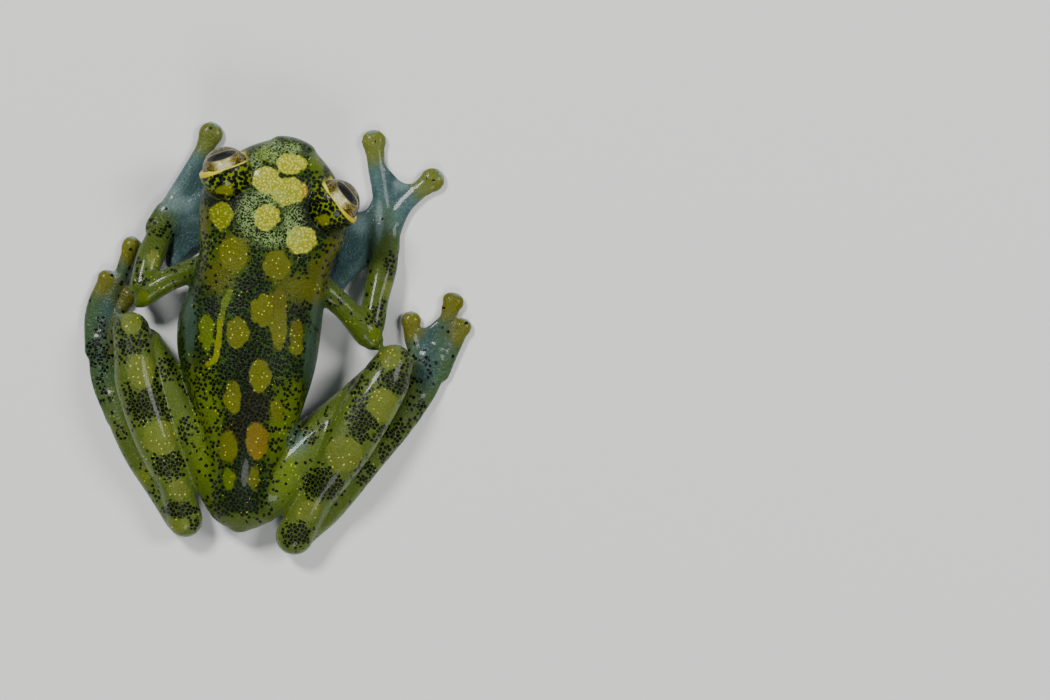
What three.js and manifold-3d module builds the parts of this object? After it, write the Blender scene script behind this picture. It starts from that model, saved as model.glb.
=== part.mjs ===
import * as THREE from "three";
import { mergeVertices } from "three/addons/utils/BufferGeometryUtils.js";
import Module from "manifold-3d";

// A reticulated glass frog at life size, lying flat with its hind legs folded.
// Millimetres, +Z up, +Y towards the snout, the floor at z = 0.

// Driving dimensions
const snoutToVent = 23.8;
const headWidth = 0.375 * snoutToVent;
const trunkWidth = 0.36 * snoutToVent;
const backHeight = 0.23 * snoutToVent;
const eyeRadius = 0.0585 * snoutToVent;
const thighRadius = 0.068 * snoutToVent;
const shankRadius = 0.056 * snoutToVent;
const tarsusRadius = 0.034 * snoutToVent;
const armRadius = 0.031 * snoutToVent;
const fingerHalfWidth = 0.56;
const toeHalfWidth = 0.46;
const fingerDiscRadius = 0.76;
const toeDiscRadius = 0.57;
const digitHalfHeight = 0.36;
const webTop = 0.6;
const webBottom = 0.1;
const gap = 0.3;
const floorFlat = 0.07;

// The head's own directions: it is turned a little to the frog's right
const headTurn = THREE.MathUtils.degToRad(16.5);
const headForward = new THREE.Vector2(Math.sin(headTurn), Math.cos(headTurn));
const headMiddle = new THREE.Vector2(0.35, 8.92);
const eyeHalfSpacing = 0.144 * snoutToVent;
const eyeLevel = 4.85;
const eyeSplay = THREE.MathUtils.degToRad(34);
const eyeLift = THREE.MathUtils.degToRad(8);
const lowerLidDrop = 0.64 * eyeRadius;

const colours = {
  back: { color: 0x7d8420, roughness: 0.35 },
  limb: { color: 0x76863c, roughness: 0.3 },
  glassy: { color: 0x6f8f93, roughness: 0.2 },
  eye: { color: 0xb89a3c, roughness: 0.08 },
};

const wasm = await Module();
wasm.setup();

// Making solids

function solid(geometry) {
  const bare = geometry.clone();
  bare.deleteAttribute("normal");
  bare.deleteAttribute("uv");
  const merged = mergeVertices(bare, 1e-4);
  return new wasm.Manifold(
    new wasm.Mesh({
      numProp: 3,
      vertProperties: merged.attributes.position.array,
      triVerts: new Uint32Array(merged.index.array),
    }),
  );
}

const fuse = (pieces) => pieces.reduce((whole, piece) => whole.add(piece));
const clear = (whole, others) => others.reduce((rest, other) => rest.subtract(other), whole);

function largest(shape) {
  const bodies = shape.decompose();
  return bodies.reduce((best, body) => (body.volume() > best.volume() ? body : best));
}

function box(width, length, height, x, y, z, turn = 0) {
  const geometry = new THREE.BoxGeometry(width, length, height);
  geometry.rotateZ(turn);
  geometry.translate(x, y, z);
  return solid(geometry);
}

// A sphere pulled out along a smooth line. A station is
// [x, y, z, half width, height above z, depth below z], the depth being the height where it is left out.
function pulled(stations, { sides, rings, capRings = 3, grow = 0, square = 2, capShare = 1 }) {
  const line = new THREE.CatmullRomCurve3(stations.map((s) => new THREE.Vector3(s[0], s[1], s[2])));
  const size = new THREE.CatmullRomCurve3(
    stations.map((s) => new THREE.Vector3(s[3], s[4], s[5] ?? s[4]).addScalar(grow)),
  );
  const steps = rings + 2 * capRings;
  const geometry = new THREE.SphereGeometry(1, sides, steps);
  const position = geometry.attributes.position;
  const across = new THREE.Vector3();
  const upward = new THREE.Vector3();
  const at = new THREE.Vector3();
  const rounded = (v) => Math.sign(v) * Math.abs(v) ** (2 / square);
  for (let i = 0; i <= steps; i++) {
    const t = THREE.MathUtils.clamp((i - capRings) / rings, 0, 1);
    const inCap = i < capRings ? i / capRings : i > rings + capRings ? (steps - i) / capRings : 1;
    const swell = Math.sin((inCap * Math.PI) / 2);
    const beyond = (i < capRings ? -1 : 1) * Math.cos((inCap * Math.PI) / 2);
    const centre = line.getPoint(t);
    const along = line.getTangent(t);
    const { x: wide, y: above, z: below } = size.getPoint(t);
    across.set(along.y, -along.x, 0).normalize();
    upward.crossVectors(across, along);
    centre.addScaledVector(along, beyond * wide * capShare);
    for (let j = 0; j <= sides; j++) {
      const angle = (2 * Math.PI * (j % sides)) / sides;
      const sideways = rounded(Math.cos(angle)) * wide * swell;
      const lift = rounded(Math.sin(angle)) * (Math.sin(angle) > 0 ? above : below) * swell;
      at.copy(centre).addScaledVector(across, sideways).addScaledVector(upward, lift);
      position.setXYZ(i * (sides + 1) + j, at.x, at.y, at.z);
    }
  }
  return solid(geometry);
}

function ball(centre, radii, turn = 0, sides = 12, rows = 8, tilt = 0) {
  const geometry = new THREE.SphereGeometry(1, sides, rows);
  geometry.rotateX(Math.PI / 2);
  geometry.scale(...radii);
  geometry.rotateX(tilt);
  geometry.rotateZ(turn);
  geometry.translate(...centre);
  return solid(geometry);
}

// Everything above the floor: what rests on it ends in a small flat at z = 0
const roomAboveFloor = box(60, 60, 20, 0, 0, 10);
const standing = (shape) => shape.intersect(roomAboveFloor);

// Head and trunk, one form from vent to snout

const trunkHalf = trunkWidth / 2;
const headHalf = headWidth / 2;
const ahead = (distance, sideways = 0) => [
  headMiddle.x + headForward.x * distance + headForward.y * sideways,
  headMiddle.y + headForward.y * distance - headForward.x * sideways,
];
const spine = [
  // x, y, level of the greatest width, half width, height above it, depth below it
  [-2.3, -11.55, 1.6, 0.06 * trunkWidth, 0.35, 0.35],
  [-2.28, -11.2, 1.65, 0.15 * trunkWidth, 0.7, 0.75],
  [-2.25, -10.7, 1.75, 0.21 * trunkWidth, 1.05, 1.1],
  [-2.19, -9.78, 1.85, 0.23 * trunkWidth, 1.6, 1.55],
  [-2.07, -8.58, 2.0, 0.24 * trunkWidth, 2.1, 1.95],
  [-1.95, -7.38, 2.05, 0.26 * trunkWidth, 2.5, 2.12],
  [-1.83, -6.18, 2.1, 0.3 * trunkWidth, 2.75, 2.2],
  [-1.77, -4.98, 2.15, 0.35 * trunkWidth, 2.95, 2.25],
  [-1.77, -3.78, 2.2, 0.4 * trunkWidth, 3.05, 2.3],
  [-1.77, -2.46, 2.2, 0.45 * trunkWidth, backHeight - 2.25, 2.3],
  [-1.75, -1.08, 2.2, 0.49 * trunkWidth, backHeight - 2.2, 2.3],
  [-1.58, 0.72, 2.25, trunkHalf, backHeight - 2.2, 2.3],
  [-1.23, 2.22, 2.35, 0.48 * trunkWidth, backHeight - 2.3, 2.2],
  [-0.87, 3.72, 2.5, 0.46 * trunkWidth, backHeight - 2.45, 1.85],
  [-0.57, 4.92, 2.65, 0.465 * trunkWidth, backHeight - 2.55, 1.6],
  [...ahead(-2.9), 2.75, 0.965 * headHalf, backHeight - 2.6, 1.5],
  [...ahead(-1.9), 2.75, headHalf, backHeight - 2.55, 1.45],
  [...ahead(-0.9), 2.8, 0.985 * headHalf, backHeight - 2.6, 1.45],
  [...ahead(0), 2.85, 0.92 * headHalf, backHeight - 2.65, 1.4],
  [...ahead(0.8), 2.85, 0.795 * headHalf, backHeight - 2.75, 1.35],
  [...ahead(1.4), 2.9, 0.665 * headHalf, 2.4, 1.3],
  [...ahead(1.85), 2.95, 0.555 * headHalf, 2.15, 1.2],
  [...ahead(2.25), 3.0, 0.43 * headHalf, 1.8, 1.1],
  [...ahead(2.58), 3.05, 0.31 * headHalf, 1.4, 0.95],
];
const bodyForm = { sides: 30, rings: 38, capRings: 4, square: 2.15, capShare: 0.36 };
const wholeBody = pulled(spine, bodyForm);
const bodyRoom = pulled(spine, { ...bodyForm, sides: 24, rings: 26, grow: gap });

// The neck cut: all that is ahead of a line across the nape is head
const napeY = 5.1;
const boxSide = 40;
const aheadOfNape = box(boxSide, boxSide, boxSide, 0, napeY + gap / 2 + boxSide / 2, 0);
const behindNape = box(boxSide, boxSide, boxSide, 0, napeY - gap / 2 - boxSide / 2, 0);

// Eyes, lids, nostrils and mouth

function eyeParts(side) {
  const outward = side === "left" ? -1 : 1;
  const facing = headTurn + outward * eyeSplay;
  const centre = [...ahead(0.04, outward * eyeHalfSpacing), eyeLevel];
  const bulge = (radii, sides, rows) => ball(centre, radii, -facing, sides, rows, eyeLift);

  // The opening: all that lies before the upper lid's margin and over the lower lid's
  const opening = (inset, drop = lowerLidDrop) => {
    const geometry = new THREE.BoxGeometry(8, 8, 8);
    geometry.translate(0, 4 + inset, 4 + inset - drop);
    geometry.rotateX(eyeLift);
    geometry.rotateZ(-facing);
    geometry.translate(...centre);
    return solid(geometry);
  };
  const sphere = (radius, sides, rows) => bulge([radius, radius, radius], sides, rows);
  const upperForm = bulge([1.1 * eyeRadius, 1.36 * eyeRadius, 1.07 * eyeRadius], 20, 12);
  const upperLid = upperForm.subtract(opening(-gap / 2, 2 * eyeRadius));
  const lowerLid = sphere(1.06 * eyeRadius, 18, 12).subtract(opening(-gap / 2));
  return {
    eye: sphere(eyeRadius, 24, 16).intersect(opening(gap / 2)),
    lids: upperLid.add(lowerLid),
    hollow: sphere(eyeRadius + gap, 14, 10).intersect(opening(-gap / 2)),
  };
}

const nostrilHalfSpacing = 0.95;
const nostrils = [-1, 1].map((side) => ({
  bump: ball([...ahead(2.5, side * nostrilHalfSpacing), 3.95], [0.4, 0.4, 0.34], -headTurn, 12, 6),
  pit: ball([...ahead(2.68, side * 1.24), 4.06], [0.14, 0.17, 0.14], -headTurn, 8, 5),
}));

// The line of the mouth runs round the snout to below each eye, with a lip on either side
function alongMouth(halfHeight) {
  const line = [
    [-2.7, 2.28],
    [-1.2, 2.42],
    [0.6, 2.36],
    [2.2, 2.5],
    [4.2, 2.62],
  ];
  const upper = line.map(([forward, z]) => new THREE.Vector2(forward, z + halfHeight));
  const lower = line.map(([forward, z]) => new THREE.Vector2(forward, z - halfHeight)).reverse();
  const settings = { depth: 14, bevelEnabled: false };
  const geometry = new THREE.ExtrudeGeometry(new THREE.Shape([...upper, ...lower]), settings);
  geometry.translate(0, 0, -7);
  geometry.rotateX(Math.PI / 2);
  geometry.rotateZ(Math.PI / 2 - headTurn);
  geometry.translate(headMiddle.x, headMiddle.y, 0);
  return solid(geometry);
}

const lipForm = { ...bodyForm, sides: 24, rings: 26, capRings: 3 };
const lips = alongMouth(0.36).intersect(pulled(spine, { ...lipForm, grow: 0.08 }));
const mouthLine = alongMouth(0.09).subtract(pulled(spine, { ...lipForm, grow: -0.2 }));

// Limbs

const limbForm = { sides: 12, rings: 10, capRings: 3 };

function limb(stations, form = limbForm) {
  return {
    shape: standing(pulled(stations, form)),
    room: pulled(stations, { ...form, sides: 12, grow: gap }),
  };
}

const thighLevel = thighRadius - floorFlat;
const thighs = {
  left: limb([
    [-3.05, -9.55, 1.45, 0.85 * thighRadius],
    [-3.3, -8.5, thighLevel, thighRadius],
    [-4.71, -6.06, thighLevel, 0.99 * thighRadius],
    [-6.57, -2.88, 1.5, 0.9 * thighRadius],
    [-7.85, -0.55, 1.65, 0.7 * thighRadius],
  ].map(round)),
  right: limb([
    [-1.0, -9.95, 1.45, 0.8 * thighRadius],
    [-0.15, -9.0, thighLevel, thighRadius],
    [1.6, -6.9, thighLevel, 0.97 * thighRadius],
    [4.35, -4.4, 1.5, 0.82 * thighRadius],
    [6.1, -2.5, 1.65, 0.66 * thighRadius],
  ].map(round)),
};

// A station with no height of its own is as high as it is wide
function round(station) {
  return station.length > 4 ? station : [...station, station[3]];
}

const shanks = {
  left: limb([
    [-8.67, 0.36, 2.35, 0.86 * shankRadius, 1.1],
    [-8.49, -1.08, 2.55, 0.93 * shankRadius, 1.15],
    [-8.25, -2.76, 2.65, 1.03 * shankRadius, 1.2],
    [-7.13, -6.24, 2.5, 0.97 * shankRadius, 1.15],
    [-5.97, -9.12, 1.9, 0.75 * shankRadius, 0.95],
    [-5.49, -10.92, 1.4, 0.81 * shankRadius, 0.95],
  ]),
  right: limb([
    [6.99, -1.62, 2.4, 0.9 * shankRadius, 1.1],
    [6.42, -2.79, 2.6, 1.12 * shankRadius, 1.15],
    [4.51, -6.0, 2.65, 1.17 * shankRadius, 1.2],
    [3.27, -8.1, 2.4, 0.99 * shankRadius, 1.15],
    [2.13, -9.93, 1.85, 0.78 * shankRadius, 0.95],
    [1.05, -11.9, 1.4, 0.87 * shankRadius, 0.95],
  ]),
};

const tarsusLevel = tarsusRadius - floorFlat;
const tarsi = {
  left: limb([
    [-5.85, -10.8, 1.05, 1.12 * tarsusRadius, 0.95],
    [-7.05, -9.06, 0.85, tarsusRadius, 0.85],
    [-8.31, -7.2, tarsusLevel, 0.98 * tarsusRadius, 0.8],
    [-9.25, -5.3, 0.68, 0.95 * tarsusRadius, 0.74],
  ]),
  right: limb([
    [1.59, -11.6, 1.05, 1.12 * tarsusRadius, 0.95],
    [3.33, -10.14, 0.85, tarsusRadius, 0.85],
    [5.85, -7.08, tarsusLevel, 0.98 * tarsusRadius, 0.8],
    [7.35, -5.3, 0.68, 0.95 * tarsusRadius, 0.74],
  ]),
};

const upperArms = {
  left: limb([
    [-3.6, 4.4, 2.7, 1.15 * armRadius, 0.85],
    [-6.15, 3.54, 2.2, 0.95 * armRadius, 0.7],
    [-7.85, 2.6, 1.95, 1.05 * armRadius, 0.75],
    [-8.2, 2.05, 1.9, 0.5 * armRadius, 0.4],
  ]),
  right: limb([
    [2.1, 3.5, 2.7, 1.15 * armRadius, 0.85],
    [4.05, 1.74, 2.2, 0.98 * armRadius, 0.72],
    [5.4, 0.3, 1.95, 1.2 * armRadius, 0.8],
    [5.85, -0.3, 1.9, 0.65 * armRadius, 0.45],
  ]),
};

const forearms = {
  left: limb([
    [-8.1, 2.95, 1.75, 1.0 * armRadius, 0.72],
    [-7.6, 4.74, 1.3, 1.14 * armRadius, 0.78],
    [-6.95, 6.1, 0.85, 1.05 * armRadius, 0.66],
  ]),
  right: limb([
    [5.67, 0.66, 1.75, 1.08 * armRadius, 0.75],
    [5.91, 2.22, 1.4, 1.08 * armRadius, 0.78],
    [6.33, 4.14, 1.0, 1.2 * armRadius, 0.72],
    [6.42, 4.9, 0.82, 1.16 * armRadius, 0.62],
  ]),
};

// Hands and feet

const digitForm = { sides: 8, rings: 4, capRings: 1 };
const digitLevel = digitHalfHeight - floorFlat;

// A digit runs from the palm through its points to a flat round disc at the tip
function digit(points, halfWidth, discRadius, discStretch = 1) {
  const stations = points.map(([x, y], i) => [
    x,
    y,
    digitLevel,
    halfWidth * (i === points.length - 1 ? 0.85 : 1),
    digitHalfHeight,
  ]);
  const [tip, before] = [points.at(-1), points.at(-2)];
  const heading = Math.atan2(tip[1] - before[1], tip[0] - before[0]);
  const discCentre = [tip[0], tip[1], digitLevel + 0.02];
  const disc = ball(
    discCentre,
    [discRadius * discStretch, discRadius, digitHalfHeight + 0.06],
    heading,
    10,
    6,
  );
  return fuse([pulled(stations, digitForm), disc]);
}

// A web between two digits: straight along both, hollow between them
function web(root, first, second, sag = 0.45) {
  const shape = new THREE.Shape();
  const middle = [(first[0] + second[0]) / 2, (first[1] + second[1]) / 2];
  shape.moveTo(...root);
  shape.lineTo(...first);
  shape.quadraticCurveTo(
    middle[0] + (root[0] - middle[0]) * sag,
    middle[1] + (root[1] - middle[1]) * sag,
    ...second,
  );
  const settings = { depth: webTop - webBottom, bevelEnabled: false, curveSegments: 4 };
  const geometry = new THREE.ExtrudeGeometry(shape, settings);
  geometry.translate(0, 0, webBottom);
  return solid(geometry);
}

function hand({ palm, digits, webs, halfWidth, discRadius }) {
  const pieces = [pulled(palm, { sides: 8, rings: 4, capRings: 2 })];
  digits.forEach((d) => pieces.push(digit(d.points, halfWidth, d.disc ?? discRadius, d.stretch)));
  webs.forEach(([root, first, second, sag]) => pieces.push(web(root, first, second, sag)));
  return standing(fuse(pieces));
}

const hands = {
  left: hand({
    halfWidth: fingerHalfWidth,
    discRadius: fingerDiscRadius,
    palm: [
      [-6.95, 6.5, 0.6, 1.0, 0.5],
      [-6.45, 7.3, 0.45, 1.0, 0.42],
    ],
    digits: [
      { points: [[-6.5, 7.3], [-5.15, 9.95], [-4.41, 11.22], [-3.99, 12.18]] },
      { points: [[-6.2, 7.4], [-3.5, 8.7], [-1.17, 9.9]] },
      { points: [[-6.1, 7.0], [-4.5, 6.85], [-3.0, 6.4]], disc: 0.66 },
      { points: [[-6.4, 6.7], [-6.2, 5.4], [-6.1, 4.5]], disc: 0.62 },
    ],
    webs: [
      [[-6.3, 7.0], [-4.3, 11.45], [-1.7, 9.6], 0.2],
      [[-6.3, 6.8], [-2.0, 9.5], [-3.1, 6.5], 0.2],
      [[-6.6, 6.9], [-3.2, 6.3], [-6.2, 4.0], 0.08],
    ],
  }),
  right: hand({
    halfWidth: fingerHalfWidth,
    discRadius: fingerDiscRadius,
    palm: [
      [6.45, 5.2, 0.58, 0.92, 0.48],
      [6.45, 6.3, 0.45, 0.95, 0.42],
    ],
    digits: [
      { points: [[6.6, 6.2], [7.5, 7.75], [8.45, 8.75], [9.3, 9.42]] },
      { points: [[6.4, 6.4], [6.25, 8.3], [5.95, 10.2], [5.79, 11.72]] },
      { points: [[6.2, 6.1], [4.6, 6.95], [3.15, 7.62]], disc: 0.66 },
      { points: [[6.2, 5.6], [4.85, 4.45], [3.57, 3.3]], disc: 0.66 },
    ],
    webs: [
      [[6.6, 5.6], [6.1, 10.75], [8.9, 9.35], 0.16],
      [[6.3, 5.9], [6.0, 8.9], [3.4, 7.6], 0.3],
      [[6.6, 5.4], [3.15, 7.6], [3.4, 3.4], 0.06],
    ],
  }),
};

const feet = {
  left: hand({
    halfWidth: toeHalfWidth,
    discRadius: toeDiscRadius,
    palm: [
      [-9.5, -4.7, 0.55, 0.86, 0.5],
      [-10.25, -2.5, 0.48, 0.95, 0.44],
      [-10.45, -0.4, 0.42, 0.95, 0.4],
    ],
    digits: [
      { points: [[-10.9, -0.8], [-11.15, 1.0], [-10.85, 2.3], [-10.25, 3.5]] },
      { points: [[-10.5, -0.6], [-10.2, 1.5], [-9.35, 3.7], [-8.8, 5.4]], stretch: 1.25 },
      { points: [[-10.2, -0.6], [-9.6, 1.2], [-8.85, 2.5]] },
      { points: [[-10.1, -1.2], [-9.8, -0.2], [-9.35, 0.7]], disc: 0.5 },
      { points: [[-10.0, -1.8], [-9.7, -1.2], [-9.4, -0.6]], disc: 0.48 },
    ],
    webs: [
      [[-10.6, -1.0], [-10.5, 3.2], [-9.3, 4.1], 0.14],
      [[-10.4, -1.0], [-9.4, 3.6], [-8.9, 2.4], 0.15],
      [[-10.1, -1.2], [-9.3, 1.9], [-9.4, 0.6], 0.3],
    ],
  }),
  right: hand({
    halfWidth: toeHalfWidth,
    discRadius: toeDiscRadius,
    palm: [
      [7.75, -4.7, 0.55, 0.86, 0.5],
      [8.75, -2.9, 0.48, 0.98, 0.44],
      [9.25, -1.4, 0.42, 1.02, 0.4],
    ],
    digits: [
      { points: [[9.7, -2.1], [10.3, -1.2], [10.75, -0.2], [11.1, 0.6]] },
      { points: [[9.3, -1.6], [9.85, 0.0], [10.2, 1.2], [10.55, 2.15]], stretch: 0.8, disc: 0.7 },
      { points: [[8.9, -2.0], [8.3, -0.9], [8.02, 0.0], [8.02, 0.97]], disc: 0.62 },
      { points: [[8.6, -2.5], [8.0, -2.0], [7.45, -1.4]], disc: 0.5 },
      { points: [[8.4, -3.2], [7.9, -3.0], [7.5, -2.7]], disc: 0.48 },
    ],
    webs: [
      [[9.4, -2.0], [11.0, 0.7], [10.3, 1.6], 0.12],
      [[9.1, -2.2], [9.9, 1.35], [8.05, 0.6], 0.12],
      [[8.7, -2.8], [8.0, -0.2], [7.6, -1.4], 0.3],
    ],
  }),
};

// The nodes, each kept clear of those before it

const sides = ["left", "right"];
const eyes = Object.fromEntries(sides.map((side) => [side, eyeParts(side)]));
const skull = fuse([wholeBody, lips, ...nostrils.map((nostril) => nostril.bump)]);
const socketed = clear(skull, sides.map((side) => eyes[side].hollow));
const head = clear(
  fuse([socketed, ...sides.map((side) => eyes[side].lids)]).intersect(aheadOfNape),
  [mouthLine, ...nostrils.map((nostril) => nostril.pit)],
);
const torso = standing(wholeBody.intersect(behindNape));
const betweenHips = box(gap, 6, 8, -2.1, -10.5, 4);

const nodes = { head, torso };
for (const side of sides) {
  const [thigh, shank, tarsus] = [thighs[side], shanks[side], tarsi[side]];
  const [upperArm, forearm] = [upperArms[side], forearms[side]];
  nodes["eye_" + side] = eyes[side].eye;
  nodes["thigh_" + side] = clear(thigh.shape, [bodyRoom, betweenHips]);
  nodes["shank_" + side] = clear(shank.shape, [bodyRoom, thigh.room]);
  nodes["tarsus_" + side] = clear(tarsus.shape, [shank.room, thigh.room]);
  nodes["upper_arm_" + side] = clear(upperArm.shape, [bodyRoom, shank.room]);
  nodes["forearm_" + side] = clear(forearm.shape, [upperArm.room, shank.room]);
  nodes["hand_" + side] = clear(hands[side], [forearm.room, bodyRoom, upperArm.room]);
  nodes["foot_" + side] = clear(feet[side], [
    tarsus.room,
    shank.room,
    thigh.room,
    forearm.room,
    upperArm.room,
  ]);
}

// The model

function coloured(name) {
  if (name.startsWith("eye")) return colours.eye;
  if (name.startsWith("hand") || name.startsWith("foot")) return colours.glassy;
  return name === "head" || name === "torso" ? colours.back : colours.limb;
}

function toMesh(name, shape) {
  const { numProp, vertProperties, triVerts } = largest(shape).getMesh();
  const count = vertProperties.length / numProp;
  const vertices = new Float32Array(count * 3);
  for (let i = 0; i < count; i++) {
    vertices.set(vertProperties.subarray(i * numProp, i * numProp + 3), i * 3);
  }
  const geometry = new THREE.BufferGeometry();
  geometry.setAttribute("position", new THREE.BufferAttribute(vertices, 3));
  geometry.setIndex(new THREE.BufferAttribute(triVerts, 1));
  geometry.computeVertexNormals();
  const mesh = new THREE.Mesh(geometry, new THREE.MeshStandardMaterial(coloured(name)));
  mesh.name = name;
  return mesh;
}

const frog = new THREE.Group();
frog.name = "glass_frog";
for (const [name, shape] of Object.entries(nodes)) frog.add(toMesh(name, shape));

export default frog;
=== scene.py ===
import math

import bpy
import numpy as np
from mathutils import Matrix, Vector
from mathutils.bvhtree import BVHTree


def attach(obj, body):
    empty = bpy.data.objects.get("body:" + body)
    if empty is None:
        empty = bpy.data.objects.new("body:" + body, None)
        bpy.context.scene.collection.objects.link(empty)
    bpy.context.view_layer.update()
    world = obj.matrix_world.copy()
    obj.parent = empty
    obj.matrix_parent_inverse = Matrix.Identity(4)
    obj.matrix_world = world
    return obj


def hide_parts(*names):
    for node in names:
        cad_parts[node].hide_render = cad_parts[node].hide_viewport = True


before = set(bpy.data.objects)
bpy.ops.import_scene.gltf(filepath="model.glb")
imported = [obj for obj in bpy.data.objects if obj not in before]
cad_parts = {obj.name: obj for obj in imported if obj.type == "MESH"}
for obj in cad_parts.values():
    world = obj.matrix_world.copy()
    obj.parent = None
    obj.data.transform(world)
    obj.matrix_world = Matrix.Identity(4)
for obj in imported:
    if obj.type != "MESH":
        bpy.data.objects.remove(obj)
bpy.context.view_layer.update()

print("frame loaded")

# Everything is modelled in millimetres and shrunk to metres when it is finished
mm = 0.001
photo = {
    "width": 1050, "millimetresPerPixel": 0.06, "middleX": 277.5, "middleY": 337.0,
    "cameraX": 14.85, "cameraY": -0.78, "cameraHeight": 500.0,
}


def toPhoto(places):
    # the photograph's pixel in which each place on the frog is seen
    share = places[:, 2] / photo["cameraHeight"]
    x = (places[:, 0] - photo["cameraX"] * share) / (1 - share)
    y = (places[:, 1] - photo["cameraY"] * share) / (1 - share)
    return (photo["middleX"] + x / photo["millimetresPerPixel"],
            photo["middleY"] - y / photo["millimetresPerPixel"])


def deselectAll():
    if bpy.context.object and bpy.context.object.mode != "OBJECT":
        bpy.ops.object.mode_set(mode="OBJECT")
    bpy.ops.object.select_all(action="DESELECT")


def makeActive(piece):
    deselectAll()
    piece.select_set(True)
    bpy.context.view_layer.objects.active = piece


def applyPlace(piece):
    makeActive(piece)
    bpy.ops.object.transform_apply(location=True, rotation=True, scale=True)


def addModifier(piece, kind, **settings):
    modifier = piece.modifiers.new(kind.title(), kind)
    for name, value in settings.items():
        setattr(modifier, name, value)
    makeActive(piece)
    bpy.ops.object.modifier_apply(modifier=modifier.name)


def editAll(piece):
    makeActive(piece)
    bpy.ops.object.mode_set(mode="EDIT")
    bpy.ops.mesh.select_all(action="SELECT")


def joined(pieces, name):
    deselectAll()
    for piece in pieces:
        piece.select_set(True)
    bpy.context.view_layer.objects.active = pieces[0]
    bpy.ops.object.join()
    whole = bpy.context.object
    whole.name = name
    whole.data.name = name
    return whole


def faceOutwards(piece):
    editAll(piece)
    bpy.ops.mesh.remove_doubles(threshold=0.0005)
    bpy.ops.mesh.normals_make_consistent(inside=False)
    bpy.ops.object.mode_set(mode="OBJECT")


def inMetres(piece, name):
    piece.name = name
    piece.data.name = name
    piece.scale = (mm, mm, mm)
    applyPlace(piece)
    bpy.ops.object.shade_smooth()
    return piece


def smoothly(stations, steps):
    # even steps on a smooth curve through the stations
    points = np.array(stations, float)
    points = np.vstack([2 * points[0] - points[1], points, 2 * points[-1] - points[-2]])
    for t in np.linspace(0, len(stations) - 1, steps):
        i = min(int(t), len(stations) - 2)
        u = t - i
        a, b, c, d = points[i:i + 4]
        squared, cubed = 2 * a - 5 * b + 4 * c - d, 3 * b - a - 3 * c + d
        yield (2 * b + (c - a) * u + squared * u ** 2 + cubed * u ** 3) / 2


def pulledForm(stations, radius=1.0, steps=16, sides=24, capShare=1.0, capSteps=4):
    # a round section extruded through stations of x, y, level, half width as a share of the radius, height
    # above and depth below. A height left out is the half width, and a depth left out is the height.
    full = []
    for x, y, level, share, *heights in stations:
        heights = heights or [share * radius]
        full.append([x, y, level, share * radius, heights[0], heights[-1]])
    start = Vector(full[0][:2])
    heading = (Vector(full[-1][:2]) - start).normalized()
    right = Vector((heading.y, -heading.x))
    middle = []
    for x, y, level, half, above, below in smoothly(full, steps):
        place = Vector((x, y)) - start
        middle.append((place.dot(heading), place.dot(right), level + (above - below) / 2, half,
                       (above + below) / 2))
    rounding = [math.radians(90 * (k + 0.35) / capSteps) for k in range(capSteps)]

    def capSection(section, angle, outwards):
        along, across, level, half, height = section
        return (along + outwards * math.cos(angle) * half * capShare, across, level, half * math.sin(angle),
                height * math.sin(angle))

    sections = [capSection(middle[0], angle, -1) for angle in rounding] + middle
    sections += [capSection(middle[-1], angle, 1) for angle in reversed(rounding)]
    deselectAll()
    bpy.ops.mesh.primitive_circle_add(vertices=sides, radius=1, fill_type="NGON",
                                      rotation=(math.pi / 2, 0, 0))
    form = bpy.context.object
    applyPlace(form)
    editAll(form)
    along, across, level, half, height = sections[0]
    bpy.ops.transform.resize(value=(half, 1, height), center_override=(0, 0, 0))
    bpy.ops.transform.translate(value=(across, along, level))
    for nextAlong, nextAcross, nextLevel, nextHalf, nextHeight in sections[1:]:
        step = (nextAcross - across, nextAlong - along, nextLevel - level)
        bpy.ops.mesh.extrude_region_move(TRANSFORM_OT_translate={"value": step})
        bpy.ops.transform.resize(value=(nextHalf / half, 1, nextHeight / height),
                                 center_override=(nextAcross, nextAlong, nextLevel))
        along, across, level, half, height = nextAlong, nextAcross, nextLevel, nextHalf, nextHeight
    bpy.ops.object.mode_set(mode="OBJECT")
    form.rotation_euler.z = math.atan2(-heading.x, heading.y)
    form.location = (start.x, start.y, 0)
    applyPlace(form)
    faceOutwards(form)
    return form


def ballForm(radii, segments=40, rings=28):
    deselectAll()
    bpy.ops.mesh.primitive_uv_sphere_add(segments=segments, ring_count=rings, radius=1)
    ball = bpy.context.object
    ball.scale = radii
    applyPlace(ball)
    return ball


def placedBall(centre, radii, turn=0.0, segments=28, rings=16):
    ball = ballForm(radii, segments, rings)
    ball.rotation_euler.z = turn
    ball.location = centre
    applyPlace(ball)
    return ball


def cutAway(piece, place, normal, keepAbove=False):
    # bisects a closed form and closes it again
    editAll(piece)
    bpy.ops.mesh.bisect(plane_co=place, plane_no=normal, use_fill=True, clear_outer=not keepAbove,
                        clear_inner=keepAbove)
    bpy.ops.object.mode_set(mode="OBJECT")


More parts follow.
